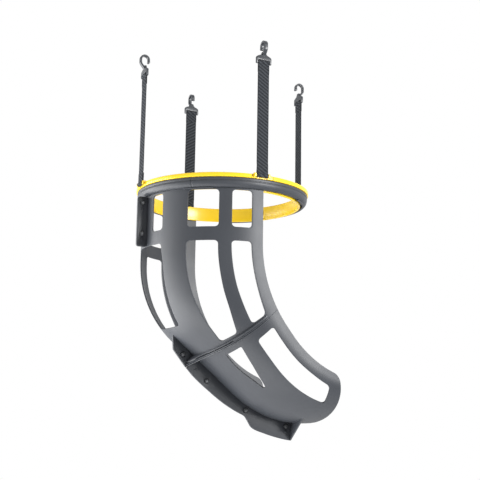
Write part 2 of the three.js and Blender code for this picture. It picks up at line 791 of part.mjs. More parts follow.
// A strap in its own radial plane: X out from the ring's axis, Z up
const strapLow = ringTop - barDrop;
const strapHigh = -hookBarDrop;

function strapSolid() {
  const joinTurn = Math.asin(webbingThickness / loopRadius);
  const loop = (centre, up) => {
    const points = [];
    for (let step = 0; step <= loopSteps; step += 1) {
      const turn = joinTurn + ((2 * Math.PI - 2 * joinTurn) * step) / loopSteps;
      points.push([up * loopRadius * Math.sin(turn), centre + up * loopRadius * Math.cos(turn)]);
    }
    return points;
  };
  const thin = webbingThickness / 2;
  const [low, high] = [strapLow + sewnLength, strapHigh - sewnLength];
  const points = [
    ...loop(strapLow, 1),
    [-webbingThickness, low], [-thin, low + sewnTaper], [-thin, high - sewnTaper], [-webbingThickness, high],
    ...loop(strapHigh, -1),
    [webbingThickness, high], [thin, high - sewnTaper], [thin, low + sewnTaper], [webbingThickness, low],
  ];
  const shape = polygonShape(points);
  const eye = barRadius + loopGap;
  [strapLow, strapHigh].forEach((centre) => {
    const circle = [];
    for (let step = 0; step < loopSteps; step += 1) {
      const turn = (2 * Math.PI * step) / loopSteps;
      circle.push(new THREE.Vector2(eye * Math.cos(turn), centre + eye * Math.sin(turn)));
    }
    shape.holes.push(new THREE.Path(circle));
  });
  const webbing = new THREE.ExtrudeGeometry(shape, { depth: webbingWidth, bevelEnabled: false });
  webbing.translate(0, 0, -webbingWidth / 2);
  webbing.rotateX(Math.PI / 2);
  webbing.translate(strapRadius, 0, 0);
  return solidOf(webbing);
}

// The outline of a stroke of even thickness along a centre line
function stroke(line, thickness) {
  const left = [];
  const right = [];
  line.forEach(([x, z], index) => {
    const before = line[Math.max(index - 1, 0)];
    const after = line[Math.min(index + 1, line.length - 1)];
    const length = Math.hypot(after[0] - before[0], after[1] - before[1]);
    const [nx, nz] = [-(after[1] - before[1]) / length, (after[0] - before[0]) / length];
    left.push([x + (nx * thickness) / 2, z + (nz * thickness) / 2]);
    right.push([x - (nx * thickness) / 2, z - (nz * thickness) / 2]);
  });
  return [...left, ...right.reverse()];
}

// A hook: a curl over the hoop's rod, a neck, a flared base and a bar for the strap
function hookSolid() {
  const centreZ = rodRadius - hookThroat;
  const curl = hookThroat + hookThickness / 2;
  const tipRadius = rodCircleRadius - curl;
  const line = [];
  for (let step = 0; step < hookTipSteps; step += 1) {
    line.push([tipRadius, centreZ - hookTipDrop * (1 - step / hookTipSteps)]);
  }
  for (let step = 0; step <= hookArcSteps; step += 1) {
    const turn = Math.PI - (Math.PI * step) / hookArcSteps;
    line.push([rodCircleRadius + curl * Math.cos(turn), centreZ + curl * Math.sin(turn)]);
  }
  const start = rodCircleRadius + curl;
  const straightEnd = centreZ - hookNeckStraight;
  for (let step = 0; step <= hookNeckSteps; step += 1) {
    const share = step / hookNeckSteps;
    const ease = share * share * (3 - 2 * share);
    line.push([start + (strapRadius - start) * ease, straightEnd - (hookShoulderDrop + straightEnd) * share]);
  }
  line.push([strapRadius, -hookShoulderDrop - hookThickness]);
  const side = hookWidth / 2;
  const neck = plateInXZ(stroke(line, hookThickness), -side, side);
  const beadRadius = hookThickness * hookBeadShare;
  const bead = rodAlongY(beadRadius, -side, side, tipRadius, centreZ - hookTipDrop, boltSides);
  const half = hookBaseWidth / 2;
  const armInner = slotHalf;
  const slotTop = -hookBarDrop + loopRadius + runGap;
  const armLow = -hookBarDrop - hookArmEnd;
  const outline = [
    [-side, -hookNeckDrop], [-half, -hookShoulderDrop], [-half, armLow], [-armInner, armLow],
    [-armInner, slotTop], [armInner, slotTop], [armInner, armLow], [half, armLow], [half, -hookShoulderDrop],
    [side, -hookNeckDrop],
  ];
  const depth = hookBaseThickness;
  const base = new THREE.ExtrudeGeometry(polygonShape(outline), { depth, bevelEnabled: false });
  base.translate(0, 0, -depth / 2);
  base.rotateX(Math.PI / 2);
  base.rotateZ(Math.PI / 2);
  base.translate(strapRadius, 0, 0);
  const barEnd = armInner + hookArmEnd / 2;
  const bar = rodAlongY(barRadius, -barEnd, barEnd, strapRadius, -hookBarDrop, barSides);
  return Manifold.union([neck, bead, solidOf(base), bar]);
}

const group = new THREE.Group();
group.name = 'ball_return';
group.add(meshOf('support_ring', fixedRing(), partColors.yellow));
ringQuarters().forEach((quarter, index) => {
  group.add(meshOf(`turning_ring_${index + 1}`, quarter, partColors.slate));
});
[['near', -1], ['far', 1]].forEach(([place, side]) => {
  group.add(meshOf(`upper_panel_${place}`, upperPanel(side), partColors.slate));
  group.add(meshOf(`lower_panel_${place}`, lowerPanel(side), partColors.slate));
});
boltPlaces.forEach((place, index) => {
  group.add(meshOf(`spine_bolt_${index + 1}`, spineBolt(place), partColors.black));
  group.add(meshOf(`spine_nut_${index + 1}`, spineNut(place), partColors.steel));
});
const strap = strapSolid();
const hook = hookSolid();
['outlet', 'far', 'spine', 'near'].forEach((place, quarter) => {
  group.add(meshOf(`strap_${place}`, turned(strap, quarter * 90), partColors.black));
  group.add(meshOf(`hook_${place}`, turned(hook, quarter * 90), partColors.slate));
});

export default group;
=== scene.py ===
"""A ball return that hangs under a hoop, dressed for its portrait.

Four hooked straps carry a yellow ring. A grey ring turns on it and carries a half-pipe chute of four
moulded panels, bolted together through a plate and fins along their spine. Everything is in metres, in
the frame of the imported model: +Z up, +X the way the chute sends the ball, and the origin in the middle of
the hoop's rod circle.
"""

from __future__ import annotations

import logging
import math
from dataclasses import dataclass
from enum import Enum
from itertools import product
from typing import Callable, Iterable, Sequence

import bmesh
import bpy
from mathutils import Matrix, Vector


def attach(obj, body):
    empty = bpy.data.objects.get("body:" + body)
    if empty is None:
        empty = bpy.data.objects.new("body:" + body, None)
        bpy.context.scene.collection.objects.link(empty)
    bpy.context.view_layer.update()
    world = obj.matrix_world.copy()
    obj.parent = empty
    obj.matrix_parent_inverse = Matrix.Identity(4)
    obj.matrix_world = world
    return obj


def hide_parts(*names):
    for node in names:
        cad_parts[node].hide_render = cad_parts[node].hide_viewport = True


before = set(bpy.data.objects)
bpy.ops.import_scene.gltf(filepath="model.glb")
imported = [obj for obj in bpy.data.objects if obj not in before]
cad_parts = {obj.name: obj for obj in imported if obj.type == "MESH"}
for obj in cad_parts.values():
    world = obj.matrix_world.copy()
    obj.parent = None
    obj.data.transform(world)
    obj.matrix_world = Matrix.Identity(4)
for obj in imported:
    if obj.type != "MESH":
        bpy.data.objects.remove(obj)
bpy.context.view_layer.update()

log = logging.getLogger("ball_return")

BMesh = bmesh.types.BMesh
Vert = bmesh.types.BMVert
Edge = bmesh.types.BMEdge
Socket = bpy.types.NodeSocket
Spot = tuple[float, float]
Line = tuple[Spot, ...]
Corner = tuple[float, float, float, float]

# Heights: the ring's top, how tall the ring is, and the foot of the grey band round it
RING_TOP = -0.3385
RING_HEIGHT = 0.035
SKIRT_DROP = 0.0002
BAND_FOOT = RING_TOP - RING_HEIGHT - SKIRT_DROP
# The chute: its radius, its wall, how far it goes up into the band, and the gap at a seam
CHUTE_RADIUS = 0.215
PANEL_WALL = 0.0035
PANEL_SOCKET = 0.007
SEAM = 0.0003
# The chute's straight drop, and the flat strip along its mouth
DROP = 0.140
STRIP = 0.0147
# The bolted plate's top and length, the upper fin's length, and the fins' reach at the joint
PLATE_TOP = BAND_FOOT - 0.0018
PLATE_LENGTH = 0.131
UPPER_FIN_LENGTH = 0.085
JOINT_REACH = 0.037
# The straps' circle, the bars' places below the ring's top and the rod circle, and half a slot's width
STRAP_RADIUS = 0.235
BAR_DROP = 0.0025
HOOK_BAR_DROP = 0.0445
BAR_RADIUS = 0.003
SLOT_HALF = 0.0166
# A difference too small to count
TINY = 1e-6


class Side(Enum):
    """The two halves of the chute, by the side of the spine that each is on."""

    NEAR = -1
    FAR = 1

    @property
    def label(self) -> str:
        """The half's name as the nodes spell it."""
        return self.name.lower()


class Place(Enum):
    """The four hanging places, by quarter turns from the outlet."""

    OUTLET = 0
    FAR = 1
    SPINE = 2
    NEAR = 3

    @property
    def label(self) -> str:
        """The place's name as the nodes spell it."""
        return self.name.lower()

    @property
    def turn(self) -> Matrix:
        """The turn about the ring's axis that brings the outlet's piece here."""
        return Matrix.Rotation(math.radians(90 * self.value), 4, "Z")


# Materials


class Graph:
    """A small helper that adds nodes to a material and links them."""

    def __init__(self, name: str) -> None:
        """Starts a material.

        Args:
            name: the material's name.
        """
        self.material = bpy.data.materials.new(name)
        self.material.use_nodes = True
        self.tree = self.material.node_tree
        self.shader = self.tree.nodes["Principled BSDF"]

    def add(self, kind: str, **values: object) -> bpy.types.Node:
        """Adds one node.

        Args:
            kind: the node's type name.
            values: properties of the node, or inputs of it where a property has no such name.

        Returns:
            The node.
        """
        node = self.tree.nodes.new(kind)
        for key, value in values.items():
            if hasattr(node, key):
                setattr(node, key, value)
            else:
                node.inputs[key.replace("_", " ")].default_value = value
        return node

    def link(self, source: Socket, target: Socket) -> None:
        """Links an output to an input."""
        self.tree.links.new(source, target)

    def drive(self, source: Socket, name: str) -> None:
        """Links an output to one of the shader's sockets."""
        self.link(source, self.shader.inputs[name])

    def own(self, **values: object) -> None:
        """Sets the shader's own sockets, whose names' spaces are written as underscores."""
        for key, value in values.items():
            self.shader.inputs[key.replace("_", " ")].default_value = value

    def place(self, scale: Sequence[float] = (1, 1, 1), turn: Sequence[float] = (0, 0, 0)) -> Socket:
        """Object coordinates, stretched and turned.

        Args:
            scale: stretch along each axis.
            turn: turn about each axis, in degrees.

        Returns:
            The vector output.
        """
        coordinate = self.add("ShaderNodeTexCoord")
        mapping = self.add("ShaderNodeMapping")
        mapping.inputs["Scale"].default_value = scale
        mapping.inputs["Rotation"].default_value = [math.radians(value) for value in turn]
        self.link(coordinate.outputs["Object"], mapping.inputs["Vector"])
        return mapping.outputs["Vector"]

    def noise(self, vector: Socket, scale: float, detail: float = 2.0, rough: float = 0.5) -> Socket:
        """A noise pattern.

        Args:
            vector: where it is read.
            scale: cells in a metre.
            detail: octaves.
            rough: how strongly the fine octaves show.

        Returns:
            The factor output.
        """
        node = self.add("ShaderNodeTexNoise", Scale=scale, Detail=detail, Roughness=rough)
        self.link(vector, node.inputs["Vector"])
        return node.outputs["Fac"]

    def spread(self, value: Socket, low: float, high: float, to_low: float, to_high: float) -> Socket:
        """Maps a value from one range to another, held at both ends.

        Args:
            value: the value.
            low: start of its range.
            high: end of its range.
            to_low: what the start becomes.
            to_high: what the end becomes.

        Returns:
            The mapped output.
        """
        node = self.add("ShaderNodeMapRange")
        for key, number in (("From Min", low), ("From Max", high), ("To Min", to_low), ("To Max", to_high)):
            node.inputs[key].default_value = number
        self.link(value, node.inputs["Value"])
        return node.outputs["Result"]

    def math(self, operation: str, first: Socket, second: Socket | float) -> Socket:
        """One sum of two values.

        Args:
            operation: the Math node's operation.
            first: the first value.
            second: the second value or a number.

        Returns:
            The result output.
        """
        node = self.add("ShaderNodeMath", operation=operation)
        self.link(first, node.inputs[0])
        if isinstance(second, (int, float)):
            node.inputs[1].default_value = second
        else:
            self.link(second, node.inputs[1])
        return node.outputs[0]

    def times(self, value: Socket, factor: Socket | float) -> Socket:
        """A value times a factor."""
        return self.math("MULTIPLY", value, factor)

    def plus(self, first: Socket, second: Socket) -> Socket:
        """The sum of two values."""
        return self.math("ADD", first, second)

    def wave(self, value: Socket, length: float) -> Socket:
        """A sine wave of a length, from -1 to 1."""
        return self.math("SINE", self.times(value, math.tau / length), 0.0)

    def mix(self, factor: Socket, first: Sequence[float], second: Sequence[float]) -> Socket:
        """A colour between two colours.

        Args:
            factor: how far towards the second.
            first: the first colour.
            second: the second colour.

        Returns:
            The colour output.
        """
        node = self.add("ShaderNodeMix", data_type="RGBA")
        node.inputs["A"].default_value = (*first, 1)
        node.inputs["B"].default_value = (*second, 1)
        self.link(factor, node.inputs["Factor"])
        return node.outputs["Result"]

    def bump(self, heights: Iterable[tuple[Socket, float]]) -> None:
        """Layers bumps on the shader's normal.

        Args:
            heights: pairs of a height pattern and its depth in metres.
        """
        last = None
        for height, depth in heights:
            node = self.add("ShaderNodeBump", Strength=1.0, Distance=depth)
            self.link(height, node.inputs["Height"])
            if last:
                self.link(last.outputs["Normal"], node.inputs["Normal"])
            last = node
        self.link(last.outputs["Normal"], self.shader.inputs["Normal"])


def shade(color: Sequence[float], factor: float) -> tuple[float, float, float]:
    """A colour made lighter or darker."""
    return tuple(min(channel * factor, 1.0) for channel in color)


@dataclass(frozen=True)
class MouldedPlastic:
    """Blow-moulded or injected plastic: even colour, a soft orange peel, faint flow marks and fine scuffs."""

    name: str
    slot: str
    color: tuple[float, float, float]
    roughness: float = 0.34
    peel: float = 0.00006
    scuffs: float = 0.1
    shine: float = 0.5
    tint: float = 0.07
    cloud_cells: float = 9
    flow_cells: float = 60
    scuff_cells: float = 1400
    peel_cells: float = 420
    grain_cells: float = 2600

    def material(self) -> bpy.types.Material:
        """Builds the material.

        Returns:
            The material.
        """
        graph = Graph(self.name)
        plain = graph.place()
        cloud = graph.noise(plain, self.cloud_cells, 3, 0.55)
        flow = graph.noise(graph.place((1, 1, 0.12), (0, 18, 0)), self.flow_cells, 3, 0.6)
        shift = graph.spread(graph.plus(graph.times(cloud, 0.6), graph.times(flow, 0.4)), 0.35, 0.65, 0, 1)
        low, high = shade(self.color, 1 - self.tint), shade(self.color, 1 + self.tint)
        graph.drive(graph.mix(shift, low, high), "Base Color")
        fine = graph.noise(graph.place((1, 1, 0.04), (12, 33, 20)), self.scuff_cells, 2, 0.5)
        matt = graph.spread(cloud, 0.3, 0.7, self.roughness - 0.03, self.roughness + 0.05)
        scuff = graph.spread(fine, 0.66, 0.74, 0, 1)
        graph.drive(graph.plus(matt, graph.times(scuff, self.scuffs)), "Roughness")
        graph.own(Specular_IOR_Level=self.shine, IOR=1.49)
        peel, grain = graph.noise(plain, self.peel_cells, 1, 0.4), graph.noise(plain, self.grain_cells, 2, 0.6)
        graph.bump([(peel, self.peel), (grain, self.peel * 0.25)])
        return graph.material


@dataclass(frozen=True)
class Webbing:
    """Twill webbing, woven along the strap's own length and width (its UV map holds both in metres). Its ribs
    carry a painted highlight and its hollows painted shade.
    """

    name: str
    slot: str
    color: tuple[float, float, float]
    rib: float = 0.0092
    lean: float = 0.6
    yarn: float = 0.0013
    width: float = 0.032
    # Colour factors for the weave's hollows and ribs: painted shade in the hollows, a painted highlight on the
    # ribs
    hollow_painted_shade: float = 0.65
    rib_painted_light: float = 1.75

    def material(self) -> bpy.types.Material:
        """Builds the material.

        Returns:
            The material.
        """
        graph = Graph(self.name)
        split = graph.add("ShaderNodeSeparateXYZ")
        graph.link(graph.add("ShaderNodeTexCoord").outputs["UV"], split.inputs[0])
        across, along = split.outputs[0], split.outputs[1]
        slope = graph.plus(graph.times(across, self.lean), along)
        twill = graph.spread(graph.wave(slope, self.rib), -0.1, 0.5, 0, 1)
        weft, warp = (graph.spread(graph.wave(way, self.yarn), -1, 1, 0, 1) for way in (along, across))
        weave = graph.plus(graph.times(twill, 0.6), graph.times(graph.times(weft, warp), 0.4))
        fuzz = graph.noise(graph.place(), 3200, 2, 0.6)
        edge = graph.math("ABSOLUTE", graph.math("SUBTRACT", across, self.width / 2), 0.0)
        selvedge = graph.spread(edge, self.width * 0.42, self.width * 0.46, 0, 1)
        tone = graph.math("SUBTRACT", graph.plus(weave, graph.times(fuzz, 0.5)), graph.times(selvedge, 0.35))
        # Painted light and shade: the weave's ribs are coloured lighter and its hollows darker, mixed with
        # random fuzz and a darker tone along both edges
        low, high = shade(self.color, self.hollow_painted_shade), shade(self.color, self.rib_painted_light)
        graph.drive(graph.mix(graph.spread(tone, 0.3, 0.95, 0, 1), low, high), "Base Color")
        graph.own(Roughness=0.9, Specular_IOR_Level=0.08, Sheen_Weight=0.03, Sheen_Roughness=0.4)
        graph.bump([(weave, 0.0004), (fuzz, 0.00008), (selvedge, 0.00025)])
        return graph.material


@dataclass(frozen=True)
class Thread:
    """Sewing thread, with a tight twist."""

    name: str
    slot: str
    color: tuple[float, float, float]

    def material(self) -> bpy.types.Material:
        """Builds the material.

        Returns:
            The material.
        """
        graph = Graph(self.name)
        twist = graph.noise(graph.place((1, 1, 0.3), (0, 40, 0)), 5200, 2, 0.6)
        graph.drive(graph.mix(twist, shade(self.color, 0.6), shade(self.color, 1.4)), "Base Color")
        graph.own(Roughness=0.6)
        graph.bump([(twist, 0.00008)])
        return graph.material


@dataclass(frozen=True)
class BlackenedSteel:
    """Dark plated steel with rubbed spots."""

    name: str
    slot: str
    color: tuple[float, float, float]
    metal: float = 0.75

    def material(self) -> bpy.types.Material:
        """Builds the material.

        Returns:
            The material.
        """
        graph = Graph(self.name)
        rub = graph.noise(graph.place(), 260, 4, 0.65)
        worn = graph.spread(rub, 0.42, 0.62, 0, 1)
        graph.drive(graph.mix(worn, self.color, shade(self.color, 1.7)), "Base Color")
        graph.drive(graph.spread(rub, 0.3, 0.7, 0.42, 0.6), "Roughness")
        graph.own(Metallic=self.metal)
        graph.bump([(graph.noise(graph.place(), 2400, 2, 0.5), 0.00004)])
        return graph.material


@dataclass(frozen=True)
class Finishes:
    """Every finish of the ball return."""

    ring: MouldedPlastic = MouldedPlastic(
        "yellow_plastic", "yellow_plastic", (0.75, 0.56, 0.0), 0.5, peel=0.00005, scuffs=0.06, shine=0.1
    )
    chute: MouldedPlastic = MouldedPlastic(
        "slate_plastic", "grey_plastic", (0.04, 0.044, 0.052), 0.44, shine=0.4
    )
    hook: MouldedPlastic = MouldedPlastic("hook_plastic", "black_plastic", (0.03, 0.034, 0.04), peel=0.00004)
    webbing: Webbing = Webbing("strap_webbing", "black_webbing", (0.034, 0.037, 0.042))
    thread: Thread = Thread("strap_thread", "black_webbing", (0.03, 0.032, 0.036))
    steel: BlackenedSteel = BlackenedSteel("bolt_steel", "dark_steel", (0.08, 0.083, 0.088))


# Mesh helpers


def finished(
    bm: BMesh, name: str, body: str, finish: object, replaces: Sequence[str] = (), sharp: float = 38.0
) -> bpy.types.Object:
    """Turns a bmesh into a piece: smooth, dressed, riding on its body.

    Args:
        bm: the mesh, which is freed.
        name: the piece's name.
        body: the body that it rides on.
        finish: one of the finishes.
        replaces: CAD nodes that it stands for.
        sharp: edges that turn more than this many degrees stay crisp.

    Returns:
        The piece.
    """
    mesh = bpy.data.meshes.new(name)
    bm.to_mesh(mesh)
    bm.free()
    mesh.shade_smooth()
    mesh.set_sharp_from_angle(angle=math.radians(sharp))
    piece = bpy.data.objects.new(name, mesh)
    bpy.context.scene.collection.objects.link(piece)
    mesh.materials.append(bpy.data.materials.get(finish.name) or finish.material())
    if replaces:
        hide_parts(*replaces)
    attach(piece, body)
    log.info("%s: %d faces on %s", name, len(mesh.polygons), body)
    return piece


def add_wall(piece: bpy.types.Object, name: str, thickness: float, offset: float, even: bool = False) -> None:
    """Gives a sheet its thickness.

    Args:
        piece: the sheet.
        name: the modifier's name.
        thickness: how thick.
        offset: -1 for inwards, 0 for both ways.
        even: whether the wall stays even round bends.
    """
    wall = piece.modifiers.new(name, "SOLIDIFY")
    wall.thickness, wall.offset, wall.use_even_offset = thickness, offset, even


def add_rounding(piece: bpy.types.Object, name: str, width: float, segments: int, angle: float) -> None:
    """Rounds a piece's sharp edges.

    Args:
        piece: the piece.
        name: the modifier's name.
        width: the rounding's width.
        segments: its steps.
        angle: the least turn that is rounded, in degrees.
    """
    rim = piece.modifiers.new(name, "BEVEL")
    rim.width, rim.segments = width, segments
    rim.limit_method, rim.angle_limit = "ANGLE", math.radians(angle)


def held(value: float) -> float:
    """A value held between 0 and 1."""
    return min(1.0, max(0.0, value))


def sheet(columns: int, rows: int) -> tuple[BMesh, list[tuple[Vert, float, float]]]:
    """A flat grid of faces.

    Args:
        columns: faces across.
        rows: faces along.

    Returns:
        The mesh, and each point with its shares of the way across and along.
    """
    bm = bmesh.new()
    bmesh.ops.create_grid(bm, x_segments=columns, y_segments=rows, size=1.0)
    return bm, [(vert, (vert.co.x + 1) / 2, (vert.co.y + 1) / 2) for vert in bm.verts]


def points_of(grown: dict[str, list]) -> list[Vert]:
    """The points that an extrusion made."""
    return [item for item in grown["geom"] if isinstance(item, Vert)]


def edges_of(grown: dict[str, list]) -> list[Edge]:
    """The edges that an extrusion made."""
    return [item for item in grown["geom"] if isinstance(item, Edge)]


def close_holes(bm: BMesh) -> None:
    """Closes every hole with one face."""
    bmesh.ops.holes_fill(bm, edges=[edge for edge in bm.edges if edge.is_boundary], sides=0)


def face_outwards(bm: BMesh) -> None:
    """Merges doubles and points every face of a closed shape outwards."""
    bmesh.ops.remove_doubles(bm, verts=bm.verts, dist=TINY)
    bmesh.ops.recalc_face_normals(bm, faces=bm.faces)


def soften(
    bm: BMesh,
    width: float,
    segments: int = 2,
    angle: float = 35.0,
    keep: Callable[[Edge], bool] | None = None,
) -> None:
    """Rounds every edge that turns more than an angle.

    Args:
        bm: the mesh.
        width: the rounding's width.
        segments: its steps.
        angle: the least turn, in degrees.
        keep: an optional test that an edge also has to pass.
    """
    bm.normal_update()
    least = math.radians(angle)
    sharp = [edge for edge in bm.edges if len(edge.link_faces) == 2 and edge.calc_face_angle(0) > least]
    edges = [edge for edge in sharp if keep is None or keep(edge)]
    bmesh.ops.bevel(bm, geom=edges, offset=width, offset_type="OFFSET", segments=segments, profile=0.5,
                    affect="EDGES", clamp_overlap=True, material=-1)


def is_level(edge: Edge) -> bool:
    """Whether an edge runs level."""
    return abs(edge.verts[0].co.z - edge.verts[1].co.z) < 1e-7


def thickened(corners: Sequence[Vector], way: Vector) -> BMesh:
    """A flat outline carried some way.

    Args:
        corners: the outline.
        way: how far and which way its copy goes.

    Returns:
        The mesh.
    """
    bm = bmesh.new()
    face = bm.faces.new([bm.verts.new(corner) for corner in corners])
    grown = bmesh.ops.extrude_face_region(bm, geom=[face])
    bmesh.ops.translate(bm, verts=points_of(grown), vec=way)
    face_outwards(bm)
    return bm


def plate(points: Sequence[Spot], low: float, high: float) -> BMesh:
    """A flat plate: an outline in the XZ plane, thick along Y.

    Args:
        points: the outline.
        low: its lowest y.
        high: its highest y.

    Returns:
        The mesh.
    """
    return thickened([Vector((x, low, z)) for x, z in points], Vector((0, high - low, 0)))


def pocketed(points: Sequence[Spot], inner: float, outer: float,
             pockets: Sequence[Spot], radius: float, depth: float) -> BMesh:
    """A flat plate with round pockets sunk into its outer face.

    Args:
        points: its outline in the XZ plane.
        inner: the y of its plain face.
        outer: the y of the face with the pockets.
        pockets: the pockets' middles in the XZ plane.
        radius: the pockets' radius.
        depth: the pockets' depth.

    Returns:
        The mesh.
    """
    bm = bmesh.new()
    down = Vector((0, math.copysign(depth, inner - outer), 0))
    corners = [bm.verts.new((x, outer, z)) for x, z in points]
    rim = [bm.edges.new((corners[index - 1], corners[index])) for index in range(len(corners))]
    rings = []
    for x, z in pockets:
        turn = Matrix.Translation((x, outer, z)) @ Matrix.Rotation(math.pi / 2, 4, "X")
        made = bmesh.ops.create_circle(bm, cap_ends=False, segments=40, radius=radius, matrix=turn)
        rings.append([edge for edge in bm.edges if all(vert in made["verts"] for vert in edge.verts)])
    outlines = [*rim, *(edge for ring in rings for edge in ring)]
    bmesh.ops.triangle_fill(bm, use_beauty=True, use_dissolve=False, edges=outlines)
    for ring in rings:
        grown = bmesh.ops.extrude_edge_only(bm, edges=ring)
        bmesh.ops.translate(bm, verts=points_of(grown), vec=down)
        bmesh.ops.holes_fill(bm, edges=edges_of(grown), sides=0)
    grown = bmesh.ops.extrude_edge_only(bm, edges=rim)
    bmesh.ops.translate(bm, verts=points_of(grown), vec=(0, inner - outer, 0))
    bmesh.ops.holes_fill(bm, edges=[edge for edge in edges_of(grown) if edge.is_boundary], sides=0)
    face_outwards(bm)
    return bm


def swept(profile: Sequence[Spot], start: float, end: float, steps: int) -> BMesh:
    """Turns a closed profile about the Z axis.

    Args:
        profile: radius and height points.
        start: the first angle, in degrees.
        end: the last angle, in degrees.
        steps: segments.

    Returns:
        The mesh, capped at its ends unless it closes on itself.
    """
    bm = bmesh.new()
    first = math.radians(start)
    east, north = math.cos(first), math.sin(first)
    verts = [bm.verts.new((radius * east, radius * north, height)) for radius, height in profile]
    edges = [bm.edges.new((verts[index], verts[(index + 1) % len(verts)])) for index in range(len(verts))]
    whole = abs(end - start - 360) < TINY
    bmesh.ops.spin(bm, geom=[*verts, *edges], cent=(0, 0, 0), axis=(0, 0, 1), dvec=(0, 0, 0),
                   angle=math.radians(end - start), steps=steps, use_merge=whole, use_duplicate=False)
    if not whole:
        close_holes(bm)
    face_outwards(bm)
    return bm


def joined(*parts: BMesh) -> BMesh:
    """Puts several meshes into one and frees them.

    Args:
        parts: the meshes.

    Returns:
        The one mesh.
    """
    whole = bmesh.new()
    for part in parts:
        mesh = bpy.data.meshes.new("part")
        part.to_mesh(mesh)
        part.free()
        whole.from_mesh(mesh)
        bpy.data.meshes.remove(mesh)
    return whole


def turned(bm: BMesh, matrix: Matrix) -> None:
    """Moves and turns a whole mesh."""
    bmesh.ops.transform(bm, matrix=matrix, verts=bm.verts)


def rod(radius: float, low: Vector, high: Vector, sides: int = 32, soft: float = 0.0004) -> BMesh:
    """A round or many-sided rod between two points, with softened ends.

    Args:
        radius: its radius.
        low: one end.
        high: the other end.
        sides: its sides.
        soft: the rounding at its ends.

    Returns:
        The mesh.
    """
    bm = bmesh.new()
    along = high - low
    bmesh.ops.create_cone(
        bm, cap_ends=True, segments=sides, radius1=radius, radius2=radius, depth=along.length
    )
    if soft:
        soften(bm, soft, 2, 60)
    turn = Vector((0, 0, 1)).rotation_difference(along.normalized()).to_matrix().to_4x4()
    turned(bm, Matrix.Translation((low + high) / 2) @ turn)
    return bm


def through(table: Sequence[Spot], where: float) -> float:
    """A smooth curve through a table of points, held beyond its ends.

    Args:
        table: pairs of place and value.
        where: the place asked for.

    Returns:
        The value there.
    """
    if where <= table[0][0]:
        return table[0][1]
    if where >= table[-1][0]:
        return table[-1][1]
    index = max(i for i in range(len(table) - 1) if table[i][0] <= where)

    def slope(at: int) -> float:
        """The curve's slope at a point of the table.

        Args:
            at: the point's index.

        Returns:
            The slope, which is level at a peak.
        """
        before, after = table[max(at - 1, 0)], table[min(at + 1, len(table) - 1)]
        if (table[at][1] - before[1]) * (after[1] - table[at][1]) <= 0:
            return 0.0
        return (after[1] - before[1]) / (after[0] - before[0])

    (x0, y0), (x1, y1) = table[index], table[index + 1]
    span = x1 - x0
    t = (where - x0) / span
    return (
        (2 * t**3 - 3 * t**2 + 1) * y0
        + (t**3 - 2 * t**2 + t) * span * slope(index)
        + (3 * t**2 - 2 * t**3) * y1
        + (t**3 - t**2) * span * slope(index + 1)
    )


# The chute's surface


@dataclass(frozen=True)
class Run:
    """One stretch of a line: straight, or a bend of a radius through some degrees."""

    length: float = 0.0
    radius: float = 0.0
    bend: float = 0.0

    @property
    def reach(self) -> float:
        """Its length along the line."""
        return self.radius * math.radians(self.bend) if self.radius else self.length


@dataclass(frozen=True)
class BentLine:
    """A line in the XZ plane that starts straight down."""

    start: Spot
    runs: tuple[Run, ...]

    @property
    def total(self) -> float:
        """Its whole length."""
        return sum(run.reach for run in self.runs)

    def at(self, distance: float) -> tuple[float, float, float]:
        """A place on the line.

        Args:
            distance: how far along it.

        Returns:
            x, z and the heading's turn from straight down, in radians.
        """
        x, z = self.start
        heading, left = 0.0, distance
        for index, run in enumerate(self.runs):
            last = index == len(self.runs) - 1
            step = left if last else min(left, run.reach)
            if run.radius:
                turn = step / run.radius
                x += run.radius * (math.cos(heading) - math.cos(heading + turn))
                z -= run.radius * (math.sin(heading + turn) - math.sin(heading))
                heading += turn
            else:
                x += step * math.sin(heading)
                z -= step * math.cos(heading)
            left -= step
        return x, z, heading


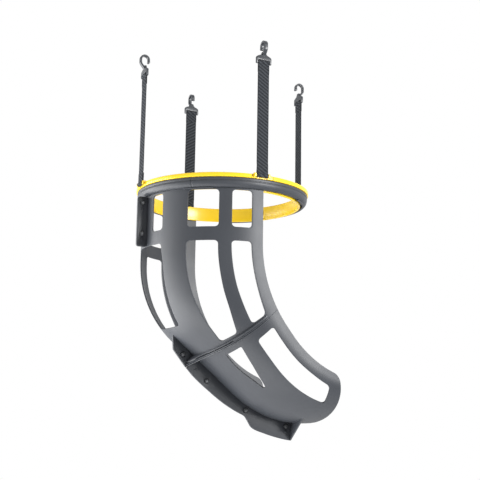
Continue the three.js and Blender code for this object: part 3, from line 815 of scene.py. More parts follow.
@dataclass(frozen=True)
class ChuteSurface:
    """The chute's outer skin: half-round sections between the spine's line and the mouth's edge.

    A station runs 0 to 1 down the drop, 1 to 2 round the elbow and 2 to 3 along the trough. An angle runs
    from the spine in degrees, and past 90 along the flat strip at the mouth.
    """

    strip: float = STRIP
    strip_degrees: float = 4.0
    bend_to_joint: float = 0.066
    spine: BentLine = BentLine(
        (-CHUTE_RADIUS, BAND_FOOT + PANEL_SOCKET),
        (Run(length=0.172), Run(radius=0.266, bend=50), Run(length=0.208), Run(radius=0.318, bend=43.2)),
    )
    mouth: BentLine = BentLine(
        (STRIP, BAND_FOOT + PANEL_SOCKET),
        (Run(length=DROP), Run(radius=0.330, bend=38.5), Run(length=0.0262), Run(radius=0.291, bend=32.6)),
    )
    mouth_joint_share: float = 0.776

    @property
    def spine_marks(self) -> tuple[float, ...]:
        """Lengths along the spine at the whole stations."""
        straight, bend = self.spine.runs[:2]
        return 0.0, DROP, straight.reach + bend.reach + self.bend_to_joint, self.spine.total

    @property
    def mouth_marks(self) -> tuple[float, ...]:
        """Lengths along the mouth's edge at the whole stations."""
        return 0.0, DROP, DROP + self.mouth.runs[1].reach * self.mouth_joint_share, self.mouth.total

    def section(self, station: float) -> tuple[Vector, Vector, Vector]:
        """The section at a station.

        Args:
            station: where along the chute.

        Returns:
            The spine's point, the mouth's point, and the way from one to the other.
        """
        stretch = min(max(int(math.floor(station)), 0), 2)
        share = station - stretch
        marks, edges = self.spine_marks, self.mouth_marks
        x, z, _ = self.spine.at(marks[stretch] + share * (marks[stretch + 1] - marks[stretch]))
        u, w, _ = self.mouth.at(edges[stretch] + share * (edges[stretch + 1] - edges[stretch]))
        spine, mouth = Vector((x, 0, z)), Vector((u, 0, w))
        return spine, mouth, (mouth - spine).normalized()

    def point(self, station: float, angle: float) -> Vector:
        """A point of the outer skin.

        Args:
            station: where along the chute.
            angle: degrees from the spine, negative on the near side.

        Returns:
            The point.
        """
        spine, mouth, across = self.section(station)
        middle = mouth - across * self.strip
        turn = math.radians(min(abs(angle), 90))
        past = max(abs(angle) - 90, 0) / self.strip_degrees * self.strip
        flat = middle + (spine - middle) * math.cos(turn) + across * past
        return flat + Vector((0, math.copysign(CHUTE_RADIUS * math.sin(turn), angle), 0))

    def outward(self, station: float, angle: float) -> Vector:
        """The skin's outward direction at a point.

        Args:
            station: where along the chute.
            angle: degrees from the spine, negative on the near side.

        Returns:
            The direction, of length 1.
        """
        along = self.point(station + 0.01, angle) - self.point(station - 0.01, angle)
        around = self.point(station, angle + 0.2) - self.point(station, angle - 0.2)
        normal = around.cross(along).normalized()
        _, mouth, _ = self.section(station)
        return normal if normal.dot(self.point(station, angle) - mouth) > 0 else -normal

    @property
    def ahead(self) -> Vector:
        """The way down the trough, square to the section at the joint.

        Returns:
            The direction, of length 1.
        """
        _, _, across = self.section(2.0)
        ahead = Vector((across.z, 0, -across.x))
        return ahead if ahead.dot(Vector((1, 0, -1))) > 0 else -ahead

    def beside(self, distance: float, reach: float) -> Spot:
        """A point beside the spine, in the XZ plane.

        Args:
            distance: length along the spine from the joint of the two sections.
            reach: how far out from the skin.

        Returns:
            x and z.
        """
        x, z, heading = self.spine.at(self.spine_marks[2] + distance)
        return x - math.cos(heading) * reach, z - math.sin(heading) * reach

    @property
    def trough(self) -> float:
        """The spine's length from the joint to the outlet."""
        return self.spine_marks[3] - self.spine_marks[2]


@dataclass(frozen=True)
class Window:
    """A window between two stations and two of the panel's lines; a line of -1 is the spine's seam."""

    start: float
    end: float
    left: int
    right: int
    corner: float = 0.0095


@dataclass(frozen=True)
class PanelPlan:
    """A panel's stations, the lines that its windows' sides follow, and its windows."""

    name: str
    start: float
    end: float
    lines: tuple[Line, ...]
    windows: tuple[Window, ...]
    cell: float = 0.0032
    outlet_corner: float = 0.0

    def line(self, index: int, station: float) -> float:
        """The angle of a line at a station; -1 is the seam."""
        return 0.0 if index < 0 else through(self.lines[index], station)


UPPER = PanelPlan(
    "upper_panel", 0.0, 2.0,
    (
        ((0, 9.4), (2, 9.4)),
        (
            (0, 20.8), (0.755, 20.8), (1, 20.0), (1.17, 22.2), (1.34, 21.4), (1.51, 19.4), (1.68, 17.2),
            (2, 16.0),
        ),
        (
            (0, 41.6), (0.755, 41.6), (1, 41.0), (1.236, 41.0), (1.472, 40.6), (1.709, 39.6), (1.945, 37.6),
            (2, 37.2),
        ),
        (
            (0, 63.2), (0.755, 63.2), (1, 63.0), (1.236, 63.2), (1.472, 62.4), (1.709, 60.0), (1.945, 53.8),
            (2, 52.4),
        ),
        ((0, 72.0), (1, 72.0), (1.236, 72.2), (1.472, 71.8), (1.709, 70.8), (1.945, 68.4), (2, 67.8)),
        ((0, 85.8), (1, 85.8), (1.236, 85.9), (1.472, 85.8), (1.709, 85.0), (1.945, 83.0), (2, 82.4)),
    ),
    (
        Window(0.08, 0.755, 0, 1), Window(0.08, 0.755, 2, 3), Window(0.08, 0.755, 4, 5),
        Window(1.0, 1.68, -1, 1), Window(1.0, 1.945, 2, 3), Window(1.0, 1.945, 4, 5),
    ),
)
LOWER = PanelPlan(
    "lower_panel", 2.0, 3.0,
    (
        (
            (2, 33.4), (2.06, 32.6), (2.156, 31.7), (2.25, 32.8), (2.32, 34.7), (2.395, 36.4), (2.42, 37.0),
            (2.556, 40.0), (3, 42.0),
        ),
        (
            (2, 50.2), (2.04, 49.3), (2.079, 48.6), (2.157, 46.8), (2.235, 44.9), (2.313, 42.7), (2.39, 40.5),
            (2.42, 39.6), (2.556, 41.4), (3, 43.2),
        ),
        ((2, 64.8), (2.092, 63.6), (2.2895, 61.5), (2.487, 59.5), (2.6845, 57.3), (2.882, 55.0), (3, 54.0)),
        ((2, 83.6), (2.092, 83.2), (2.2895, 82.2), (2.487, 81.7), (2.6845, 80.9), (2.882, 78.2), (3, 77.0)),
    ),
    (Window(2.06, 2.42, 0, 1, 0.0045), Window(2.092, 2.882, 2, 3)),
    outlet_corner=0.016,
)


@dataclass
class ChutePanel:
    """One moulded panel's shell, with its windows."""

    surface: ChuteSurface
    plan: PanelPlan
    side: Side
    rounding: float = 0.0009

    def stations(self) -> list[float]:
        """Every row's station, with a row on each window's top and bottom.

        Returns:
            The stations, from the start to the end.
        """
        marks = {self.plan.start, self.plan.end}
        for window in self.plan.windows:
            marks |= {window.start, window.end}
        ordered = sorted(marks | ({1.0} if self.plan.start < 1 < self.plan.end else set()))
        rows = [ordered[0]]
        for low, high in zip(ordered, ordered[1:]):
            ends = ((self.surface.point(low, angle), self.surface.point(high, angle)) for angle in (0, 45, 90))
            length = max((first - last).length for first, last in ends)
            count = max(2, math.ceil(length / self.plan.cell))
            rows += [low + (high - low) * step / count for step in range(1, count + 1)]
        return rows

    def columns(self) -> list[tuple[int, float]]:
        """Every column, from the spine to the mouth.

        Returns:
            For each, the line before it and its share of the way to the next line.
        """
        lines = [self.plan.line(index, self.plan.start) for index in range(-1, len(self.plan.lines))]
        stops = [*lines, 90.0, 90.0 + self.surface.strip_degrees]
        made: list[tuple[int, float]] = []
        for index, (low, high) in enumerate(zip(stops, stops[1:])):
            count = max(2, round(math.radians(high - low) * CHUTE_RADIUS / self.plan.cell))
            made += [(index - 1, step / count) for step in range(count)]
        return made + [(len(stops) - 2, 0.0)]

    def angle(self, column: tuple[int, float], station: float) -> float:
        """A column's angle at a station.

        Args:
            column: the line before it and its share of the way to the next line.
            station: where along the chute.

        Returns:
            Degrees from the spine.
        """
        index, share = column
        count = len(self.plan.lines)

        def stop(at: int) -> float:
            """The angle of a line, or of the strip's two edges after the last line.

            Args:
                at: the line's index.

            Returns:
                Degrees from the spine.
            """
            if at < count:
                return self.plan.line(at, station)
            return 90.0 if at == count else 90.0 + self.surface.strip_degrees

        low = stop(index)
        return low if share == 0 else low + (stop(index + 1) - low) * share

    def corner_place(self, station: float, angle: float, window: Window) -> Corner | None:
        """How far a place is into a window's nearest corner.

        Args:
            station: the place's station.
            angle: the place's angle.
            window: the window.

        Returns:
            The distances from the side and from the end, and how station and angle change per metre, or
            None where the place is outside the window or by the seam.
        """
        if not window.start - 1e-9 <= station <= window.end + 1e-9:
            return None
        left, right = self.plan.line(window.left, station), self.plan.line(window.right, station)
        if not left - 1e-9 <= angle <= right + 1e-9:
            return None
        by_left = angle - left < right - angle
        if by_left and window.left < 0:
            return None
        before, after = self.surface.point(station, angle - 0.5), self.surface.point(station, angle + 0.5)
        per_degree = (after - before).length
        low, high = self.surface.point(station - 0.005, angle), self.surface.point(station + 0.005, angle)
        per_station = (high - low).length / 0.01
        side = (angle - left if by_left else right - angle) * per_degree
        by_start = station - window.start < window.end - station
        end = (station - window.start if by_start else window.end - station) * per_station
        return side, end, (1 if by_left else -1) / per_degree, (1 if by_start else -1) / per_station

    def build(self) -> bpy.types.Object:
        """Builds the shell.

        Returns:
            The piece.
        """
        rows, columns = self.stations(), self.columns()
        bm, points = sheet(len(columns) - 1, len(rows) - 1)
        places: dict[Vert, list[float]] = {}
        for vert, across, along in points:
            column, station = columns[round(across * (len(columns) - 1))], rows[round(along * (len(rows) - 1))]
            places[vert] = [station, self.angle(column, station)]
        self.cut_windows(bm, places)
        self.round_corners(bm, places)
        for vert, (station, angle) in places.items():
            if not vert.is_valid:
                continue
            point = self.surface.point(station, max(angle, 1e-4))
            point.y = max(point.y, SEAM / 2)
            vert.co = Vector((point.x, self.side.value * point.y, point.z))
        self.trim_joint(bm)
        bm.normal_update()
        sample = next(iter(bm.faces))
        _, mouth, _ = self.surface.section(self.plan.start + 0.3)
        if sample.normal.dot(sample.calc_center_median() - mouth) < 0:
            bmesh.ops.reverse_faces(bm, faces=bm.faces)
        name = f"{self.plan.name}_{self.side.label}"
        piece = finished(bm, f"{name}_shell", "chute", Finishes().chute, [name], 50)
        add_wall(piece, "wall", PANEL_WALL, -1, True)
        add_rounding(piece, "rim", self.rounding, 3, 50)
        return piece

    def trim_joint(self, bm: BMesh) -> None:
        """Moves the edge at the joint back by half the seam.

        Args:
            bm: the panel's sheet.
        """
        spine, _, _ = self.surface.section(2.0)
        ahead = self.surface.ahead
        sign = -1 if self.plan.end == 2.0 else 1
        for vert in bm.verts:
            if abs((vert.co - spine).dot(ahead)) < TINY:
                vert.co += ahead * sign * SEAM / 2

    def cut_windows(self, bm: BMesh, places: dict[Vert, list[float]]) -> None:
        """Deletes the faces inside the windows' rounded outlines and past the outlet's corner.

        Args:
            bm: the panel's sheet.
            places: each point's station and angle.
        """
        gone = []
        for face in bm.faces:
            station = sum(places[vert][0] for vert in face.verts) / len(face.verts)
            angle = sum(places[vert][1] for vert in face.verts) / len(face.verts)
            for window in self.plan.windows:
                if not window.start < station < window.end:
                    continue
                if not self.plan.line(window.left, station) < angle < self.plan.line(window.right, station):
                    continue
                spot, radius = self.corner_place(station, angle, window), window.corner
                by_corner = spot and spot[0] < radius and spot[1] < radius
                if by_corner and math.hypot(radius - spot[0], radius - spot[1]) > radius:
                    continue
                gone.append(face)
                break
            else:
                spot = self.outlet_place(station, angle)
                corner = self.plan.outlet_corner
                if spot and math.hypot(corner - spot[0], corner - spot[1]) > corner:
                    gone.append(face)
        bmesh.ops.delete(bm, geom=gone, context="FACES")

    def outlet_place(self, station: float, angle: float) -> Corner | None:
        """How far a place is from the mouth's edge and from the outlet's end, along the skin.

        Args:
            station: the place's station.
            angle: the place's angle.

        Returns:
            The two distances, and how angle and station change per metre, or None away from the corner.
        """
        radius = self.plan.outlet_corner
        edge = 90 + self.surface.strip_degrees
        if not radius or station < self.plan.end - 0.2 or angle < edge - 12:
            return None
        per_degree = self.surface.strip / self.surface.strip_degrees
        low, high = self.surface.point(2.95, 92.0), self.surface.point(2.99, 92.0)
        per_station = (high - low).length / 0.04
        side, end = (edge - angle) * per_degree, (self.plan.end - station) * per_station
        if side >= radius or end >= radius:
            return None
        return side, end, 1 / per_degree, 1 / per_station

    def round_corners(self, bm: BMesh, places: dict[Vert, list[float]]) -> None:
        """Moves the corners' boundary onto their round outlines.

        Args:
            bm: the panel's sheet.
            places: each point's station and angle, which are changed.
        """
        for vert in bm.verts:
            if not vert.is_boundary:
                continue
            for window in self.plan.windows:
                spot, radius = self.corner_place(*places[vert], window), window.corner
                if spot is None or spot[0] >= radius or spot[1] >= radius:
                    continue
                side, end, degrees, stations = spot
                away = Vector((side - radius, end - radius))
                goal = away.normalized() * radius
                places[vert][1] += (goal.x - away.x) * degrees
                places[vert][0] += (goal.y - away.y) * stations
                break
            else:
                self.round_outlet(places[vert])

    def round_outlet(self, place: list[float]) -> None:
        """Moves one place onto the outlet's rounded corner.

        Args:
            place: its station and angle, which are changed.
        """
        spot = self.outlet_place(*place)
        if spot is None:
            return
        side, end, degrees, stations = spot
        away = Vector((side - self.plan.outlet_corner, end - self.plan.outlet_corner))
        goal = away.normalized() * self.plan.outlet_corner
        place[1] -= (goal.x - away.x) * degrees
        place[0] -= (goal.y - away.y) * stations


# Fins, plate and flanges along the spine and the joint

# How far the lower fin stands out from the skin, by its share of the trough
LOWER_FIN_REACH: Line = (
    (0.0, 0.0370), (0.06, 0.0394), (0.12, 0.0400), (0.2, 0.0392), (0.28, 0.0377), (0.35, 0.0354),
    (0.42, 0.0314), (0.485, 0.0278), (0.526, 0.0258), (0.562, 0.0325), (0.609, 0.0432), (0.7, 0.0436),
    (0.79, 0.0445), (0.89, 0.0463),
)
# Profiles of the joint's flanges: distance from the joint, share of the rise, and how deep the groove goes
UPPER_FLANGE = (
    (0.0, 0.0, 0.0), (0.0, 0.8, 0.0), (0.0004, 0.92, 0.0), (0.0011, 0.99, 0.0), (0.0019, 1.0, 0.0),
    (0.0026, 0.94, 0.0), (0.003, 0.84, 0.1), (0.0034, 0.76, 0.5), (0.0052, 0.74, 0.56), (0.0057, 0.76, 0.1),
    (0.0063, 0.78, 0.0), (0.0074, 0.78, 0.0), (0.0084, 0.64, 0.0), (0.0092, 0.0, 0.0),
)
LOWER_FLANGE = (
    (0.0, 0.0, 0.0), (0.0, 0.8, 0.0), (0.0004, 0.92, 0.0), (0.0011, 0.99, 0.0), (0.002, 1.0, 0.0),
    (0.0028, 0.93, 0.0), (0.0033, 0.8, 0.0), (0.0034, 0.0, 0.0),
)


@dataclass
class SpineWork:
    """The bolted plate, the fins, the joint's flanges, the pins and the tail's brace of one half."""

    surface: ChuteSurface
    side: Side
    thickness: float = 0.0032
    fin_rounding: float = 0.0006
    plate_reach: float = 0.027
    plate_corner: float = 0.006
    overlap: float = 0.0021
    upper_fin_outline: Line = ((-0.002, JOINT_REACH), (-0.059, 0.026), (-UPPER_FIN_LENGTH, 0.0))
    flange_height: float = 0.009
    flange_least: float = 0.08
    flange_end: float = 84
    flange_blend: float = 26
    flange_fade: float = 16
    flange_steps: int = 120
    groove_start: float = 9
    groove_end: float = 49
    groove_fade: float = 2
    inside_reach: float = 0.17
    gusset_width: float = 0.096
    gusset_thickness: float = 0.0034
    gusset_station: float = 2.85
    gusset_rounding: float = 0.0008
    pin_radius: float = 0.0034
    pin_height: float = 0.0016
    pocket_radius: float = 0.0074
    pocket_depth: float = 0.0012

    @property
    def inner(self) -> float:
        """The y of the face at the seam."""
        return self.side.value * SEAM / 2

    @property
    def outer(self) -> float:
        """The y of the outer face."""
        return self.side.value * (SEAM / 2 + self.thickness)

    def slab(self, points: Sequence[Spot], bolts: Sequence[Spot]) -> BMesh:
        """A fin from its outline, with a pocket at each bolt, softly rounded.

        Args:
            points: its outline in the XZ plane.
            bolts: its bolts' places in the XZ plane.

        Returns:
            The mesh.
        """
        bm = pocketed(points, self.inner, self.outer, bolts, self.pocket_radius, self.pocket_depth)
        soften(bm, self.fin_rounding, 3, 60)
        return bm

    def top_plate(self, bolts: Sequence[Spot]) -> BMesh:
        """The plate behind the ring.

        Args:
            bolts: its bolts' places in the XZ plane.

        Returns:
            The mesh.
        """
        corner = self.plate_corner
        left, right = -CHUTE_RADIUS - self.plate_reach + corner, -CHUTE_RADIUS + self.overlap - corner
        high, low = PLATE_TOP - corner, PLATE_TOP - PLATE_LENGTH + corner
        points = []
        for x, z, start in ((right, high, 0), (left, high, 90), (left, low, 180), (right, low, 270)):
            turns = [math.radians(start + 15 * step) for step in range(7)]
            points += [(x + corner * math.cos(turn), z + corner * math.sin(turn)) for turn in turns]
        return self.slab(points, bolts)

    def upper_fin(self, bolts: Sequence[Spot]) -> BMesh:
        """The fin above the joint.

        Args:
            bolts: its bolts' places in the XZ plane.

        Returns:
            The mesh.
        """
        beside, length = self.surface.beside, UPPER_FIN_LENGTH
        inner = [beside(-length + length * step / 6, -self.overlap) for step in range(7)]
        outer = [beside(*place) for place in self.upper_fin_outline]
        return self.slab([*inner, *outer], bolts)

    def lower_fin(self, bolts: Sequence[Spot]) -> BMesh:
        """The long fin under the trough, down to the tail.

        Args:
            bolts: its bolts' places in the XZ plane.

        Returns:
            The mesh.
        """
        beside, length = self.surface.beside, self.surface.trough
        shares = [LOWER_FIN_REACH[-1][0] * step / 60 for step in range(61)]
        outer = [beside(share * length, through(LOWER_FIN_REACH, share)) for share in shares]
        inner = [beside(share * length, -self.overlap) for share in shares]
        return self.slab([*outer, *reversed(inner)], bolts)

    def gusset(self) -> BMesh:
        """The three-cornered brace across the trough that closes the fin's tail.

        Returns:
            The mesh.
        """
        length = self.surface.trough
        share, reach = LOWER_FIN_REACH[-1]
        tip_x, tip_z = self.surface.beside(share * length, reach)
        end_x, end_z = self.surface.beside(share * length, -self.overlap)
        angle = self.side.value * math.degrees(math.asin(self.gusset_width / CHUTE_RADIUS))
        far = self.surface.point(self.gusset_station, angle)
        far -= self.surface.outward(self.gusset_station, angle) * self.overlap
        corners = (
            Vector((tip_x, self.side.value * SEAM, tip_z)),
            Vector((tip_x, self.outer, tip_z)),
            far,
            Vector((end_x, self.side.value * SEAM, end_z)),
        )
        bm = thickened(corners, Vector((-self.gusset_thickness, 0, 0)))
        soften(bm, self.gusset_rounding, 3, 40)
        return bm

    def flange_rise(self, angle: float) -> float:
        """How far the joint's flange stands off the skin.

        Args:
            angle: degrees from the spine.

        Returns:
            Its rise: the fin's reach by the spine, and hardly any at its own end.
        """
        blend = held(1 - angle / self.flange_blend)
        fade = math.sqrt(held((self.flange_end - angle) / self.flange_fade))
        rise = self.flange_height + (JOINT_REACH - self.flange_height) * blend**2
        return rise * (self.flange_least + (1 - self.flange_least) * fade)

    def joint_flange(self, along: int, profile: Sequence[tuple[float, float, float]]) -> BMesh:
        """The raised flange at a section's end, drawn as a profile carried round the skin.

        Args:
            along: -1 for the upper section's, 1 for the lower one's.
            profile: points of the profile: how far from the joint, its share of the flange's rise, and how
                far below that share the groove takes it.

        Returns:
            The mesh.
        """
        spine, _, across = self.surface.section(2.0)
        inside = spine + across * self.inside_reach
        ahead, point, side = self.surface.ahead, self.surface.point, self.side.value
        bm, points = sheet(self.flange_steps, len(profile))
        for vert, way_round, way_over in points:
            angle = max(self.flange_end * way_round, 0.02)
            away, share, sink = profile[round(way_over * len(profile)) % len(profile)]
            base = point(2.0, side * angle)
            around = point(2.0, side * (angle + 0.5)) - point(2.0, side * (angle - 0.5))
            out = around.cross(ahead).normalized()
            if out.dot(base - inside) < 0:
                out.negate()
            groove = held((angle - self.groove_start) / self.groove_fade)
            groove *= held((self.groove_end - angle) / self.groove_fade)
            height = self.flange_rise(angle) * (share - sink * groove) if share > 0 else -PANEL_WALL / 2
            spot = base + out * height + ahead * along * (SEAM / 2 + away)
            spot.y = side * max(abs(spot.y), SEAM / 2)
            vert.co = spot
        bmesh.ops.remove_doubles(bm, verts=bm.verts, dist=TINY)
        close_holes(bm)
        face_outwards(bm)
        return bm

    def pins(self, places: Sequence[Spot]) -> list[BMesh]:
        """The locating pins' ends.

        Args:
            places: where they are in the XZ plane.

        Returns:
            A mesh for each.
        """
        end = self.outer + self.side.value * self.pin_height
        spans = [(Vector((x, self.inner, z)), Vector((x, end, z))) for x, z in places]
        return [rod(self.pin_radius, low, high, 28, 0.0005) for low, high in spans]

    def build(self, places: "SpinePlaces") -> list[bpy.types.Object]:
        """Builds the pieces of one half.

        Args:
            places: where the bolts and pins are.

        Returns:
            The pieces.
        """
        finish = Finishes().chute
        label = self.side.label
        bolts, upper = places.bolts, places.upper_pins
        plate_and_pins = joined(self.top_plate(bolts[:2]), *self.pins(upper[:2]))
        upper_and_pin = joined(self.upper_fin(bolts[2:3]), *self.pins(upper[2:]))
        lower_and_pins = joined(self.lower_fin(bolts[3:]), *self.pins(places.lower_pins))
        return [
            finished(plate_and_pins, f"spine_plate_{label}", "chute", finish),
            finished(upper_and_pin, f"upper_fin_{label}", "chute", finish),
            finished(lower_and_pins, f"lower_fin_{label}", "chute", finish),
            finished(self.gusset(), f"tail_brace_{label}", "chute", finish),
            finished(self.joint_flange(-1, UPPER_FLANGE), f"upper_flange_{label}", "chute", finish, sharp=50),
            finished(self.joint_flange(1, LOWER_FLANGE), f"lower_flange_{label}", "chute", finish, sharp=50),
        ]


@dataclass(frozen=True)
class SpinePlaces:
    """Where the bolts and pins go through the plate and the fins, in the XZ plane."""

    surface: ChuteSurface
    plate_x: float = -CHUTE_RADIUS - 0.0135
    fin_bolts: Line = ((0.168, 0.62), (0.515, 0.46), (0.84, 0.24))

    def on_plate(self, share: float) -> Spot:
        """A place on the plate, by its share of the way down."""
        return self.plate_x, PLATE_TOP - PLATE_LENGTH * share

    def on_upper_fin(self, share: float, reach: float) -> Spot:
        """A place on the upper fin, by shares of its length and of its reach at the joint."""
        return self.surface.beside(-share * UPPER_FIN_LENGTH, reach * JOINT_REACH)

    def on_lower_fin(self, share: float, reach: float) -> Spot:
        """A place on the lower fin, by shares of the trough's length and of the fin's reach there."""
        return self.surface.beside(share * self.surface.trough, reach * through(LOWER_FIN_REACH, share))

    @property
    def bolts(self) -> list[Spot]:
        """Every bolt's place, in the nodes' order."""
        lower = [self.on_lower_fin(*spot) for spot in self.fin_bolts]
        return [self.on_plate(0.12), self.on_plate(0.75), self.on_upper_fin(0.36, 0.47), *lower]

    @property
    def upper_pins(self) -> list[Spot]:
        """The pins of the plate and the upper fin."""
        return [self.on_plate(0.26), self.on_plate(0.87), self.on_upper_fin(0.15, 0.66)]

    @property
    def lower_pins(self) -> list[Spot]:
        """The pins of the lower fin."""
        return [self.on_lower_fin(0.056, 0.58), self.on_lower_fin(0.842, 0.56)]


@dataclass
class Fastening:
    """One bolt, its nut and the shallow seat ring round the nut."""

    index: int
    place: Spot
    radius: float = 0.003
    across: float = 0.0058
    nut_height: float = 0.005
    head_height: float = 0.004
    seat: float = 0.00245
    proud: float = 0.002
    thread: float = 0.001
    shank: float = 0.001
    collar: float = 0.0006
    nut_gap: float = 0.0004

    def hexagon(self, low: float, high: float) -> BMesh:
        """A six-sided block with chamfered corners, along y."""
        x, z = self.place
        return rod(self.across, Vector((x, low, z)), Vector((x, high, z)), 6, 0.0005)

    def threads(self, low: float, high: float) -> BMesh:
        """A threaded shank along y.

        Args:
            low: the y of its end.
            high: the y where it goes into the head.

        Returns:
            The mesh.
        """
        x, z = self.place
        count = max(2, round((high - low) / self.thread))
        step = (high - low) / count
        profile = [(0.0, low)]
        for turn in range(count):
            at = low + (high - low) * turn / count
            profile += [(self.radius * 0.86, at), (self.radius, at + step * 0.5)]
        profile += [(self.radius * 0.8, high), (0.0, high)]
        bm = bmesh.new()
        verts = [bm.verts.new((radius, 0, height)) for radius, height in profile]
        edges = [bm.edges.new(pair) for pair in zip(verts, verts[1:])]
        bmesh.ops.spin(bm, geom=[*verts, *edges], cent=(0, 0, 0), axis=(0, 0, 1), dvec=(0, 0, 0),
                       angle=math.tau, steps=20, use_merge=True, use_duplicate=False)
        face_outwards(bm)
        turn = Matrix.Rotation(math.radians(-90), 4, "X")
        turned(bm, Matrix.Translation((x, 0, z)) @ turn)
        return bm

    def build(self) -> list[bpy.types.Object]:
        """Builds the bolt and the nut.

        Returns:
            The two pieces.
        """
        x, z = self.place
        steel = Finishes().steel
        end = -self.seat - self.nut_height
        bolt = joined(
            self.threads(end - self.proud, self.seat + self.shank),
            self.hexagon(self.seat, self.seat + self.head_height),
        )
        foot = Vector((x, -self.seat, z))
        collar = rod(self.across * 0.98, foot - Vector((0, self.collar, 0)), foot, 36, 0.0002)
        nut = joined(self.hexagon(end, -self.seat - self.nut_gap), collar)
        return [
            finished(bolt, f"bolt_{self.index}", "chute", steel, [f"spine_bolt_{self.index}"]),
            finished(nut, f"nut_{self.index}", "chute", steel, [f"spine_nut_{self.index}"]),
        ]


# Rings


@dataclass
class SupportRing:
    """The fixed yellow ring: a spool with a top flange, a wall, a foot lip, and an ear at each strap."""

    inner: float = 0.204
    outer: float = 0.232
    wall: float = 0.0032
    flange: float = 0.0102
    lip: float = 0.0032
    lip_drop: float = 0.0033
    slot_inner: float = 0.2292
    ear_root: float = 0.003
    ear_side: float = 0.006
    ear_outer: float = 0.2384
    ear_above: float = 0.0025
    ear_below: float = 0.008
    ear_rounding: float = 0.0016
    rounding: float = 0.0012
    notch_offset: float = 8.4
    notch_width: float = 0.003
    notch_depth: float = 0.0012
    step_degrees: float = 1.5

    def profile(self, outer: float) -> list[Spot]:
        """The ring's section.

        Args:
            outer: the flange's radius.

        Returns:
            Radius and height points.
        """
        top, under, lip_top = RING_TOP, RING_TOP - self.flange, RING_TOP - RING_HEIGHT + self.lip
        wall, lip = self.inner + self.wall, self.inner + self.wall + self.lip
        foot = RING_TOP - RING_HEIGHT - self.lip_drop
        return [
            (self.inner, foot), (self.inner, top), (outer, top), (outer, under), (wall, under),
            (wall, lip_top), (lip, lip_top), (lip, foot),
        ]

    def arcs(self) -> list[tuple[float, float, float]]:
        """The ring's stretches between slots and notches.

        Returns:
            Each stretch's first angle, last angle and outer radius.
        """
        slot = math.degrees(math.asin(SLOT_HALF / self.slot_inner))
        notch = math.degrees(self.notch_width / 2 / self.outer)
        cuts = []
        for place in Place:
            middle = 90.0 * place.value
            cuts.append((middle - slot, middle + slot, self.slot_inner))
            side = 1 if place.value % 2 else -1
            spot = middle + side * self.notch_offset
            cuts.append((spot - notch, spot + notch, self.outer - self.notch_depth))
        cuts.sort()
        made = []
        for index, (low, high, radius) in enumerate(cuts):
            following = cuts[(index + 1) % len(cuts)][0] + (360 if index == len(cuts) - 1 else 0)
            made += [(low, high, radius), (high, following, self.outer)]
        return made

    def ear(self, place: Place) -> list[BMesh]:
        """The two cheeks and the bar at one strap.

        Args:
            place: which strap.

        Returns:
            The three meshes.
        """
        made = []
        low, high = RING_TOP - self.ear_below, RING_TOP + self.ear_above
        root, reach = self.slot_inner - self.ear_root, SLOT_HALF + self.ear_side / 2
        size = Matrix.Diagonal((self.ear_outer - root, self.ear_side, high - low, 1))
        for side in (-1, 1):
            bm = bmesh.new()
            bmesh.ops.create_cube(bm, size=1.0)
            middle = Vector(((self.ear_outer + root) / 2, side * reach, (low + high) / 2))
            turned(bm, Matrix.Translation(middle) @ size)
            soften(bm, self.ear_rounding, 4, 60)
            made.append(bm)
        end = Vector((STRAP_RADIUS, reach, RING_TOP - BAR_DROP))
        made.append(rod(BAR_RADIUS, end - Vector((0, 2 * reach, 0)), end, 40, 0))
        for bm in made:
            turned(bm, place.turn)
        return made

    def build(self) -> bpy.types.Object:
        """Builds the ring.

        Returns:
            The piece.
        """
        stretches = []
        for low, high, radius in self.arcs():
            steps = max(2, round((high - low) / self.step_degrees))
            arc = swept(self.profile(radius), low, high, steps)
            soften(arc, self.rounding, 3, 50, is_level)
            stretches.append(arc)
        ears = [part for place in Place for part in self.ear(place)]
        ring = joined(*stretches, *ears)
        return finished(ring, "ring_spool", "support", Finishes().ring, ["support_ring"], 44)


